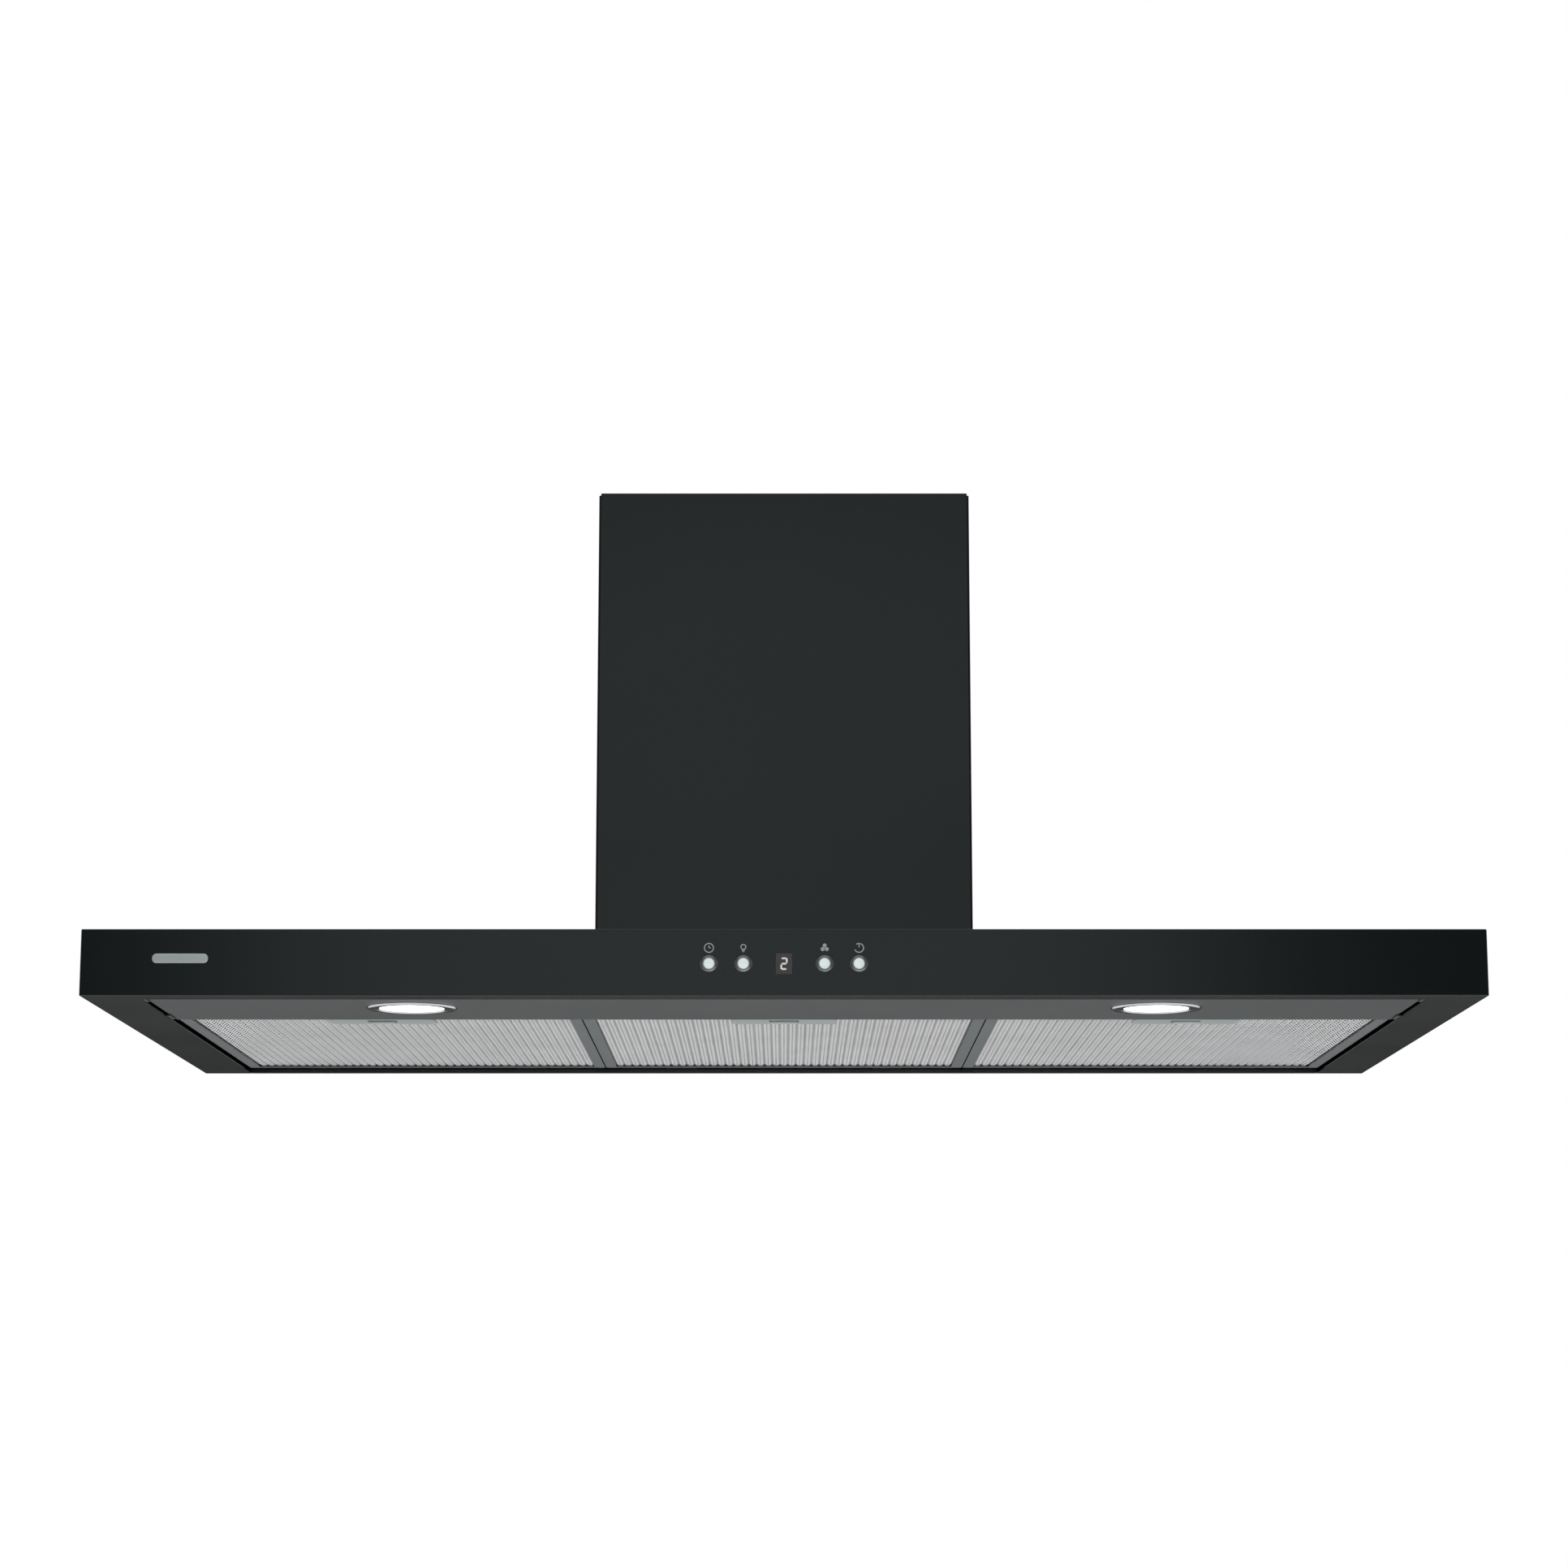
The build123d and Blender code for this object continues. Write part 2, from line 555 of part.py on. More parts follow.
def scroll_outline(wall):
    """The scroll's outline in the YZ plane, grown by a wall: three quarter arcs and the flared outlet."""
    step = SCROLL_STEP
    radii = [SCROLL_R + wall + i * step for i in range(3)]
    before, behind = AXIS_Y - step / 2, AXIS_Y + step / 2
    below, above = AXIS_Z - step / 2, AXIS_Z + step / 2
    front = before - radii[2]
    angle = radians(TONGUE_ANGLE)
    tongue = (behind + radii[0] * cos(angle), below + radii[0] * sin(angle))
    bare = (behind + SCROLL_R * cos(angle), below + SCROLL_R * sin(angle))
    slope = (OUTLET_TOP - bare[1]) / (OUTLET_REAR_Y - bare[0])
    drop = wall * hypot(1, slope)
    with BuildSketch(Plane.YZ) as outline:
        with BuildLine():
            CenterArc((before, above), radii[2], 180, 90)
            CenterArc((before, below), radii[1], 270, 90)
            CenterArc((behind, below), radii[0], 0, TONGUE_ANGLE)
            Polyline(tongue, (front, tongue[1]), (front, above))
        make_face()
        with BuildLine():
            Polyline((front, AXIS_Z), (front, OUTLET_TOP), (OUTLET_REAR_Y + drop / slope, OUTLET_TOP),
                     (bare[0], bare[1] - drop), (bare[0], AXIS_Z), (front, AXIS_Z))
        make_face()
    return outline.sketch


def scroll_lugs():
    """Where the screws that close the two halves go: round the outside of the scroll and on its front wall."""
    half, reach = SCROLL_STEP / 2, SCROLL_R + SCROLL_WALL + LUG_OUT
    lugs = []
    for quarter, y, z, angle in ((0, half, -half, 60), (0, half, -half, 10), (1, -half, -half, 315),
                                 (2, -half, half, 225), (2, -half, half, 180)):
        radius = reach + quarter * SCROLL_STEP
        at = radians(angle)
        lugs.append((AXIS_Y + y + radius * cos(at), AXIS_Z + z + radius * sin(at)))
    return lugs


def scroll_half(name, sign):
    """One half of the blower housing, split at the middle plane, with its inlet, flange, lugs and feet."""
    with BuildPart() as half:
        extrude(scroll_outline(SCROLL_WALL), amount=sign * SCROLL_HALF_W)
        span = sorted((0, sign * COLLAR_HALF_W))
        block(span, COLLAR_Y, (OUTLET_TOP - COLLAR_PLATE, OUTLET_TOP))
        for y, z in scroll_lugs():
            rod((0, y, z), (sign, 0, 0), LUG_R, LUG_X)
        foot = sorted((sign * 28, sign * 52))
        block(foot, (-184, -68), (CANOPY_H + RUBBER_H, CANOPY_H + RUBBER_H + 3))
        web = sorted((sign * 50, sign * 52))
        block(web, (-184, -68), (CANOPY_H + RUBBER_H, 74))
        extrude(scroll_outline(0), amount=sign * (SCROLL_HALF_W - SCROLL_WALL), mode=Mode.SUBTRACT)
        inlet = (sign * (SCROLL_HALF_W - 8), AXIS_Y, AXIS_Z)
        rod(inlet, (sign, 0, 0), INLET_R + 2, 8)
        rod(inlet, (sign, 0, 0), INLET_R, 8, Mode.SUBTRACT)
        for y, z in scroll_lugs():
            rod((0, y, z), (sign, 0, 0), SCREW_R, LUG_X, Mode.SUBTRACT)
        for x, y in RUBBER_AT:
            rod((x, y, CANOPY_H + RUBBER_H), (0, 0, 1), SCREW_R, 3, Mode.SUBTRACT)
        for x, y in COLLAR_SCREWS:
            rod((x, y, OUTLET_TOP - COLLAR_PLATE), (0, 0, 1), SCREW_R, COLLAR_PLATE, Mode.SUBTRACT)
        if sign > 0:
            for y, z in bracket_holes():
                rod((SCROLL_HALF_W - SCROLL_WALL, y, z), (1, 0, 0), SCREW_R, SCROLL_WALL, Mode.SUBTRACT)
    write(half.part, name)


def bracket_holes():
    """Where the motor bracket's three screws go, on the right half's side wall."""
    angles = [radians(90 + 120 * i) for i in range(3)]
    return [(AXIS_Y + RING_SCREWS_AT * cos(a), AXIS_Z + RING_SCREWS_AT * sin(a)) for a in angles]


def motor():
    """The motor in the right inlet, its shaft, and the three-armed bracket that holds it."""
    side = Plane(origin=(0, AXIS_Y, AXIS_Z), x_dir=(0, 1, 0), z_dir=(1, 0, 0))
    with BuildPart() as body:
        with BuildSketch(side.offset(MOTOR_X[0])):
            Circle(MOTOR_R)
        extrude(amount=MOTOR_X[1] - MOTOR_X[0])
        fillet(body.edges(), 5)
        rod((MOTOR_X[0] - 6, AXIS_Y, AXIS_Z), (1, 0, 0), 10, 6)
        rod((MOTOR_X[0] - 6, AXIS_Y, AXIS_Z), (1, 0, 0), SHAFT_R + 0.05, 60, Mode.SUBTRACT)
    write(body.part, "motor_body")
    with BuildPart() as shaft:
        rod((SHAFT_X[0], AXIS_Y, AXIS_Z), (1, 0, 0), SHAFT_R, SHAFT_X[1] - SHAFT_X[0])
        chamfer(shaft.edges(), 0.5)
    write(shaft.part, "motor_shaft")
    with BuildPart() as bracket:
        with BuildSketch(side.offset(MOTOR_X[1])):
            Circle(28)
            with PolarLocations(0, 3, start_angle=30):
                with Locations((ARM_REACH / 2, 0)):
                    Rectangle(ARM_REACH, ARM_W)
            Circle(8, mode=Mode.SUBTRACT)
        extrude(amount=ARM_SHEET)
        with BuildSketch(side.offset(MOTOR_X[1])):
            with PolarLocations(0, 3, start_angle=30):
                with Locations((ARM_REACH - 1.5, 0)):
                    Rectangle(3, ARM_W)
        extrude(amount=SCROLL_HALF_W + ARM_SHEET - MOTOR_X[1])
        with BuildSketch(side.offset(SCROLL_HALF_W)):
            Circle(RING_R[1])
            Circle(RING_R[0], mode=Mode.SUBTRACT)
        extrude(amount=ARM_SHEET)
        for y, z in bracket_holes():
            rod((SCROLL_HALF_W, y, z), (1, 0, 0), SCREW_HOLE_R, ARM_SHEET, Mode.SUBTRACT)
    write(bracket.part, "motor_bracket")


def impeller():
    """The double-inlet fan wheel: a centre disc and hub, two rows of curved blades and end rings."""
    side = Plane(origin=(0, AXIS_Y, AXIS_Z), x_dir=(0, 1, 0), z_dir=(1, 0, 0))
    with BuildPart() as wheel:
        with BuildSketch(side.offset(-0.8)):
            Circle(FAN_R[1])
        extrude(amount=1.6)
        rod((HUB_X[0], AXIS_Y, AXIS_Z), (1, 0, 0), HUB_R, HUB_X[1] - HUB_X[0])
        with BuildSketch(side.offset(-FAN_HALF_W)):
            with PolarLocations(0, FAN_BLADES):
                with Locations(Location((sum(FAN_R) / 2, 0), BLADE_TURN)):
                    Rectangle(BLADE_LENGTH, BLADE_T)
        extrude(amount=2 * FAN_HALF_W)
        for start in (-FAN_HALF_W, FAN_HALF_W - 2):
            with BuildSketch(side.offset(start)):
                Circle(FAN_R[1])
                Circle(FAN_R[0], mode=Mode.SUBTRACT)
            extrude(amount=2)
        rod((HUB_X[0], AXIS_Y, AXIS_Z), (1, 0, 0), SHAFT_R, HUB_X[1] - HUB_X[0], Mode.SUBTRACT)
    write(wheel.part, "impeller")


def outlet_collar():
    """The plate on the blower's outlet with the round spigot, the flaps' seat and the bridge under their pin."""
    with BuildPart() as collar:
        block((-COLLAR_HALF_W, COLLAR_HALF_W), COLLAR_Y, (OUTLET_TOP, OUTLET_TOP + COLLAR_PLATE))
        centre = (0, SPIGOT_Y, OUTLET_TOP)
        inner = SPIGOT_R - SPIGOT_WALL
        rod(centre, (0, 0, 1), SPIGOT_R, SPIGOT_TOP - OUTLET_TOP)
        rod(centre, (0, 0, 1), inner - FLAP_SEAT_W, SPIGOT_TOP - OUTLET_TOP, Mode.SUBTRACT)
        rod((0, SPIGOT_Y, FLAP_SEAT_Z), (0, 0, 1), inner, SPIGOT_TOP - FLAP_SEAT_Z, Mode.SUBTRACT)
        rod(centre, (0, 0, 1), inner, 8, Mode.SUBTRACT)
        block((-inner - 0.5, inner + 0.5), (SPIGOT_Y - 2, SPIGOT_Y + 2), (269, 272.5))
        rod((-SPIGOT_R, SPIGOT_Y, FLAP_PIN_Z), (1, 0, 0), FLAP_PIN_R, 2 * SPIGOT_R, Mode.SUBTRACT)
        for x, y in COLLAR_SCREWS:
            rod((x, y, OUTLET_TOP), (0, 0, 1), SCREW_HOLE_R, COLLAR_PLATE, Mode.SUBTRACT)
    write(collar.part, "outlet_collar")
    with BuildPart() as pin:
        rod((-SPIGOT_R + 0.3, SPIGOT_Y, FLAP_PIN_Z), (1, 0, 0), FLAP_PIN_R, 2 * SPIGOT_R - 0.6)
    write(pin.part, "flap_pin")


def flap(name, sign, knuckles):
    """A half-round non-return flap with two knuckles on the shared pin."""
    reach = SPIGOT_R - SPIGOT_WALL - 0.7
    low = FLAP_SEAT_Z + 0.3
    thick = 1.2
    start = 3.4
    with BuildPart() as plate:
        with BuildSketch(Plane.XY.offset(low)):
            with Locations((0, SPIGOT_Y)):
                Circle(reach)
            with Locations((0, SPIGOT_Y + sign * (start - reach - 1) / 2)):
                Rectangle(2 * reach + 2, reach + 1 + start, mode=Mode.SUBTRACT)
        extrude(amount=thick)
        for x in knuckles:
            near = x - KNUCKLE_W / 2
            leaf = sorted((SPIGOT_Y + sign * 1.0, SPIGOT_Y + sign * 4.5))
            rod((near, SPIGOT_Y, FLAP_PIN_Z), (1, 0, 0), KNUCKLE_R, KNUCKLE_W)
            block((near, near + KNUCKLE_W), leaf, (low, low + thick))
            rod((near, SPIGOT_Y, FLAP_PIN_Z), (1, 0, 0), FLAP_PIN_R + 0.06, KNUCKLE_W, Mode.SUBTRACT)
    write(plate.part, name)


def blower_mounts():
    """Rubber feet under the blower, and all the screws that hold the blower together."""
    with BuildPart() as rubbers:
        for x, y in RUBBER_AT:
            rod((x, y, CANOPY_H), (0, 0, 1), 9, RUBBER_H)
            rod((x, y, CANOPY_H), (0, 0, 1), SCREW_HOLE_R, RUBBER_H, Mode.SUBTRACT)
    write(rubbers.part, "rubber_mounts")
    with BuildPart() as screws:
        for x, y in RUBBER_AT:
            screw((x, y, ROOF_IN), (0, 0, 1), RUBBER_H + 3.6)
        for x, y in COLLAR_SCREWS:
            screw((x, y, OUTLET_TOP + COLLAR_PLATE), (0, 0, -1), 8)
        for y, z in scroll_lugs():
            screw((LUG_X, y, z), (-1, 0, 0), 2 * LUG_X - 2)
        for y, z in bracket_holes():
            screw((SCROLL_HALF_W + ARM_SHEET, y, z), (-1, 0, 0), ARM_SHEET + SCROLL_WALL - 0.1)
    write(screws.part, "blower_screws")


# ---------------------------------------------------------------- electrical parts on the wall frame


def terminal_box():
    """The mains connection box, its lid and the empty cord gland on top."""
    (x0, x1), (y0, y1), (z0, z1) = TERMINAL_X, TERMINAL_Y, TERMINAL_Z
    wall = TERMINAL_WALL
    with BuildPart() as box:
        block((x0, x1), (y0, y1), (z0, z1))
        fillet(box.edges().filter_by(Axis.Y), 3)
        block((x0 + wall, x1 - wall), (y0, y1 - wall), (z0 + wall, z1 - wall), Mode.SUBTRACT)
        rod((*GLAND_AT, z1 - wall), (0, 0, 1), 6.5, wall, Mode.SUBTRACT)
    write(box.part, "terminal_box")
    with BuildPart() as lid:
        block((x0, x1), (y0 - 2.5, y0), (z0, z1))
        fillet(lid.edges().filter_by(Axis.Y), 3)
        rim = wall + 0.3
        block((x0 + rim, x1 - rim), (y0, y0 + 2), (z0 + rim, z1 - rim))
        block((x0 + 2 * wall, x1 - 2 * wall), (y0, y0 + 2), (z0 + 2 * wall, z1 - 2 * wall), Mode.SUBTRACT)
    write(lid.part, "terminal_lid")
    with BuildPart() as gland:
        rod((*GLAND_AT, z1 - 4), (0, 0, 1), 6.4, 4)
        with BuildSketch(Plane.XY.offset(z1)):
            with Locations(GLAND_AT):
                RegularPolygon(9, 6)
        extrude(amount=5)
        rod((*GLAND_AT, z1 + 5), (0, 0, 1), 7.6, 9)
        fillet(gland.faces().sort_by(Axis.Z)[-1].edges(), 2)
        rod((*GLAND_AT, z1 - 4), (0, 0, 1), GLAND_BORE_R, 18, Mode.SUBTRACT)
    write(gland.part, "cable_gland")


def capacitor():
    """The motor's run capacitor and the saddle that clips it to the wall frame."""
    at_x, at_y = CAPACITOR_AT
    foot, top = CAPACITOR_Z
    with BuildPart() as can:
        rod((at_x, at_y, foot), (0, 0, 1), CAPACITOR_R, top - foot)
        fillet(can.edges(), 1.5)
        for x in (at_x - 5, at_x + 5):
            block((x - 0.4, x + 0.4), (at_y - 3, at_y + 3), (top, top + 8))
    write(can.part, "capacitor")
    with BuildPart() as clamp:
        start = (at_x, at_y, CLAMP_Z[0])
        height = CLAMP_Z[1] - CLAMP_Z[0]
        outer = CAPACITOR_R + 1.2
        rod(start, (0, 0, 1), outer, height)
        block((at_x - 22, at_x + 22), (-3, -FRAME_SHEET), CLAMP_Z)
        block((at_x - outer, at_x + outer), (at_y, -FRAME_SHEET), CLAMP_Z)
        rod(start, (0, 0, 1), CAPACITOR_R + 0.05, height, Mode.SUBTRACT)
    write(clamp.part, "capacitor_clamp")


def internal_leads():
    """The hood's own wiring, clipped along its whole run between the parts it joins."""
    lamp_end, tray = LAMP_Y - 26.5, -456
    runs = [
        (1.3, 8, [(-LAMP_X, lamp_end, 15), (-LAMP_X, tray, 15), (-LAMP_X, tray, 33), (110, tray, 33)]),
        (1.3, 8, [(LAMP_X, lamp_end, 15), (LAMP_X, tray, 15), (LAMP_X, tray, 33), (196, tray, 33)]),
        (1.3, 13, [(110, -464, 26), (41, -464, 26), (41, -480, 26)]),
        (1.8, 10, [(72, -120, 185), (101, -120, 185), (101, -120, 245), (101, -22, 245),
                   (80, -22, 245), (80, -22, 270)]),
        (1.8, 9, [(24, -21, 300), (-10, -21, 300), (-10, -21, 340), (-57, -21, 340), (-57, -21, 330)]),
        (1.8, 8, [(88, -14, 270), (88, -14, 58), (88, -34, 58), (88, -34, 36), (88, -448, 36),
                  (-50, -448, 36), (-50, -448, 20), (-50, -479, 20)]),
    ]
    with BuildPart() as leads:
        for radius, bend, points in runs:
            with BuildLine() as route:
                FilletPolyline(*points, radius=bend)
            path = route.line
            with BuildSketch(Plane(origin=path @ 0, z_dir=path % 0)) as end:
                Circle(radius)
            sweep(end.sketch, path=path)
    write(leads.part, "internal_leads")


# ---------------------------------------------------------------- the whole hood


def build():
    canopy_shell()
    rear_panel()
    lamp_panel()
    badge()
    wall_frame()
    casing_screws()
    chimney_section("lower_chimney", CHIMNEY_W / 2, -CHIMNEY_D, 0, CHIMNEY_FLANGE, (CANOPY_H, CHIMNEY_TOP))
    upper_front = -CHIMNEY_D + SHEET + SLIDE_GAP
    chimney_section("upper_chimney", UPPER_HALF_W, upper_front, UPPER_REAR_Y, CHIMNEY_FLANGE, UPPER_Z)
    chimney_bracket()
    chimney_clips()
    for side, x in FILTER_NAMES.items():
        filter_frame(side, x)
        filter_mesh(side, x)
        filter_latch(side, x)
    for side, x in (("left", -LAMP_X), ("right", LAMP_X)):
        lamp(side, x)
    lamp_boards()
    control_box()
    control_board()
    display()
    for name, x in BUTTON_X.items():
        button(name, x)
    led_driver()
    scroll_half("scroll_left", -1)
    scroll_half("scroll_right", 1)
    motor()
    impeller()
    outlet_collar()
    flap("flap_front", -1, (-50, 30))
    flap("flap_rear", 1, (-30, 50))
    blower_mounts()
    terminal_box()
    capacitor()
    internal_leads()


build()
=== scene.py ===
"""Looks for the wall chimney range hood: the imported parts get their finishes, and the filters' mesh, the
buttons, the lamps, the printed icons and the lit digit are modelled here. Metres, in the hood's own frame."""

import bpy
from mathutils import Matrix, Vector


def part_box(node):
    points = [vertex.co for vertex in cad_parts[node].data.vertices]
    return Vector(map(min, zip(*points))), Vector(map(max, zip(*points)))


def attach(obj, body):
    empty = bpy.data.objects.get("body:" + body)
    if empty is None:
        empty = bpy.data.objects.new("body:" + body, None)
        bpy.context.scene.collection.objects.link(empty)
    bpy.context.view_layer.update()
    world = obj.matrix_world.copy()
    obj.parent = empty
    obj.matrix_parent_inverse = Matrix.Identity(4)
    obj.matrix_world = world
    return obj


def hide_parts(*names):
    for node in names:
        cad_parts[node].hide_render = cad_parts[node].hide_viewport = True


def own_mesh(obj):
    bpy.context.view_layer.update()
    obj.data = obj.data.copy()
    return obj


bl_info = {
    "name": "Chimney Range Hood Looks",
    "version": (1, 0, 0),
    "blender": (4, 5, 0),
    "location": "3D View > Sidebar > Range Hood",
    "description": "Models the fine pieces of a chimney range hood and gives every part its finish",
    "category": "Object",
}

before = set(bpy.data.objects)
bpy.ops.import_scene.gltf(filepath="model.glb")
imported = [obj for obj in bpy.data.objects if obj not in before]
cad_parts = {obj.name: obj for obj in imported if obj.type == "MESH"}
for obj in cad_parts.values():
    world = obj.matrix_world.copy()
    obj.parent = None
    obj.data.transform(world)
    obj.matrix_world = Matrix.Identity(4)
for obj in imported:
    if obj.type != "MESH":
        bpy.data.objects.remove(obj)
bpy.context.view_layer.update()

import math

import bmesh
import bpy
from bpy.props import FloatProperty, FloatVectorProperty, PointerProperty
from mathutils import Vector

MM = 0.001
SIDES = ("left", "centre", "right")
LAMP_SIDES = ("left", "right")
BUTTONS = ("timer", "lamp", "fan", "power")
FRONT_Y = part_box("canopy_shell")[0].y
BUTTON_FACE_R = 3.45 * MM
ICON_RISE = 10.2 * MM
SIDE_LIGHTS = {"left": (-3.5, -0.6, 0.9), "right": (3.5, -0.6, 0.9), "rear": (0.4, 3.5, 1.0)}


# ------------------------------------------------------------------ settings


def colour(name, description, default):
    """A colour setting, in linear values."""
    return FloatVectorProperty(name=name, description=description, default=default, subtype="COLOR",
                               size=3, min=0.0, max=1.0)


def length(name, description, default):
    """A length setting, in metres."""
    return FloatProperty(name=name, description=description, default=default, min=0.0, unit="LENGTH",
                         precision=5)


class FinishSettings(bpy.types.PropertyGroup):
    """Colours of the painted, plated and moulded surfaces."""

    paint: colour("Casing paint", "Semi-gloss black of the canopy and the chimney", (0.006, 0.0085, 0.0088))
    strip: colour("Lamp strip", "Graphite of the strip that holds the lamps", (0.024, 0.031, 0.032))
    mesh: colour("Filter mesh", "Bright aluminium of the grease mesh", (0.8, 0.806, 0.812))
    channel: colour("Filter frame", "Rolled aluminium round the mesh", (0.16, 0.178, 0.185))
    latch: colour("Latch plate", "Satin plate of the filter latches", (0.42, 0.47, 0.46))
    silver: colour("Buttons", "Satin silver of the push buttons", (0.86, 0.88, 0.88))
    print_ink: colour("Icons", "Grey ink of the printed icons", (0.42, 0.44, 0.44))


class MeshSettings(bpy.types.PropertyGroup):
    """Sizes of the expanded aluminium mesh."""

    across: length("Diamond width", "Width of one diamond, across the hood", 6.0 * MM)
    along: length("Diamond length", "Length of one diamond, front to back", 8.0 * MM)
    strand: length("Strand width", "Width of one strand of the mesh", 1.3 * MM)
    sheet: length("Sheet thickness", "Thickness of the expanded sheet", 0.45 * MM)
    knuckle: length("Knuckle height", "How far the crossings stand out of the sheet", 1.4 * MM)


class StageSettings(bpy.types.PropertyGroup):
    """The camera, the floor and the lights."""

    lens: FloatProperty(name="Lens", description="Focal length of the camera", default=80.6, min=10.0,
                        unit="CAMERA")
    away: length("Distance", "How far the camera stands from the wall", 2.727)
    below: length("Drop", "How far the camera is below the canopy's lower edge", 0.271)
    pitch: FloatProperty(name="Pitch", description="How far the camera looks up", default=math.radians(10.39),
                         subtype="ANGLE")
    floor_drop: length("Floor drop", "How far the floor is below the canopy's lower edge", 0.95)
    key_power: FloatProperty(name="Key power", description="Power of the light behind the camera",
                             default=14.0, min=0.0, unit="POWER")
    top_power: FloatProperty(name="Top power", description="Power of the light overhead", default=90.0,
                             min=0.0, unit="POWER")
    side_power: FloatProperty(name="Side power", default=12.0, min=0.0, unit="POWER",
                              description="Power of each light beside and behind the hood")
    under_power: FloatProperty(name="Under power", default=8.0, min=0.0, unit="POWER",
                               description="Power of the light that reaches the underside")


# ------------------------------------------------------------------ modelling helpers


def clear_selection():
    """Nothing is selected before a primitive is added."""
    bpy.ops.object.select_all(action="DESELECT")


def select_only(obj):
    """Makes one object the selected and active one."""
    clear_selection()
    obj.select_set(True)
    bpy.context.view_layer.objects.active = obj


def begin(name):
    """Names the active object, such as a primitive that was just added, and returns it."""
    obj = bpy.context.active_object
    obj.name = name
    obj.data.name = name
    return obj


def pick(obj, kind, test):
    """In edit mode, selects the vertices, edges or faces that pass the test, and no others.

    A vertex is tested by its place, an edge by its middle, and a face as a whole. Returns how many pass.
    """
    modes = {"VERT": (True, False, False), "EDGE": (False, True, False), "FACE": (False, False, True)}
    bpy.context.tool_settings.mesh_select_mode = modes[kind]
    bpy.ops.mesh.select_all(action="DESELECT")
    shape = bmesh.from_edit_mesh(obj.data)
    count = 0
    if kind == "VERT":
        for vert in shape.verts:
            vert.select = bool(test(vert.co))
            count += vert.select
    elif kind == "EDGE":
        for edge in shape.edges:
            wanted = bool(test((edge.verts[0].co + edge.verts[1].co) / 2))
            edge.select_set(wanted)
            count += wanted
    else:
        for face in shape.faces:
            wanted = bool(test(face))
            face.select_set(wanted)
            count += wanted
    shape.select_flush_mode()
    bmesh.update_edit_mesh(obj.data)
    return count


def edit():
    bpy.ops.object.mode_set(mode="EDIT")


def done():
    bpy.ops.object.mode_set(mode="OBJECT")


def apply_modifier(obj, kind, **values):
    """Adds a modifier, sets it and applies it."""
    select_only(obj)
    modifier = obj.modifiers.new(kind.title(), kind)
    for key, value in values.items():
        setattr(modifier, key, value)
    bpy.ops.object.modifier_apply(modifier=modifier.name)


def settle(obj, angle=35.0):
    """Puts the object's place into its mesh and smooths the faces that meet at a small angle."""
    select_only(obj)
    bpy.ops.object.transform_apply(location=True, rotation=True, scale=True)
    bpy.ops.object.shade_smooth_by_angle(angle=math.radians(angle))


def outward(obj):
    """Merges doubles and turns every face outwards."""
    select_only(obj)
    edit()
    bpy.ops.mesh.select_all(action="SELECT")
    bpy.ops.mesh.remove_doubles(threshold=1e-6)
    bpy.ops.mesh.normals_make_consistent(inside=False)
    done()


def join(name, objects):
    """Joins objects into one piece."""
    clear_selection()
    for obj in objects:
        obj.select_set(True)
    bpy.context.view_layer.objects.active = objects[0]
    bpy.ops.object.join()
    return begin(name)


def dress(obj, material):
    """Gives the whole object one material."""
    obj.data.materials.clear()
    obj.data.materials.append(material)


def dot(name, place):
    """A mesh of one vertex, to extrude from: a small plane merged at its middle."""
    clear_selection()
    bpy.ops.mesh.primitive_plane_add(size=MM, location=place)
    obj = begin(name)
    edit()
    bpy.ops.mesh.select_all(action="SELECT")
    bpy.ops.mesh.merge(type="CENTER")
    done()
    return obj


def spun(name, profile, centre, axis, segments):
    """A turned piece: a profile of (radius, height) points, extruded from one vertex and spun round an axis.

    The height runs along the axis from the centre.
    """
    axis = Vector(axis)
    radial = Vector((1, 0, 0))
    centre = Vector(centre)
    points = [centre + radial * radius + axis * height for radius, height in profile]
    obj = dot(name, points[0])
    edit()
    bpy.ops.mesh.select_all(action="SELECT")
    for start, end in zip(points, points[1:]):
        bpy.ops.mesh.extrude_vertices_move(TRANSFORM_OT_translate={"value": end - start})
    bpy.ops.mesh.select_all(action="SELECT")
    bpy.ops.mesh.spin(steps=segments, angle=math.tau, center=centre, axis=axis)
    done()
    outward(obj)
    return obj


# ------------------------------------------------------------------ shading helpers


class Nodes:
    """Short ways to add and join shader nodes in one tree."""

    def __init__(self, tree):
        self.tree = tree

    def add(self, kind, **values):
        node = self.tree.nodes.new(kind)
        for key, value in values.items():
            setattr(node, key, value)
        return node

    def link(self, source, target):
        self.tree.links.new(source, target)

    def math(self, operation, first, second):
        node = self.add("ShaderNodeMath", operation=operation)
        for socket, value in zip(node.inputs, (first, second)):
            if isinstance(value, (int, float)):
                socket.default_value = value
            else:
                self.link(value, socket)
        return node.outputs[0]

    def blend(self, factor, low, high):
        node = self.add("ShaderNodeMix", data_type="RGBA")
        for socket, value in ((node.inputs[0], factor), (node.inputs[6], low), (node.inputs[7], high)):
            if isinstance(value, (int, float)):
                socket.default_value = value
            elif isinstance(value, tuple):
                socket.default_value = (*value, 1.0)
            else:
                self.link(value, socket)
        return node.outputs[2]

    def spread(self, value, low, high):
        """Maps 0..1 to low..high."""
        node = self.add("ShaderNodeMapRange")
        self.link(value, node.inputs["Value"])
        node.inputs["To Min"].default_value = low
        node.inputs["To Max"].default_value = high
        return node.outputs["Result"]


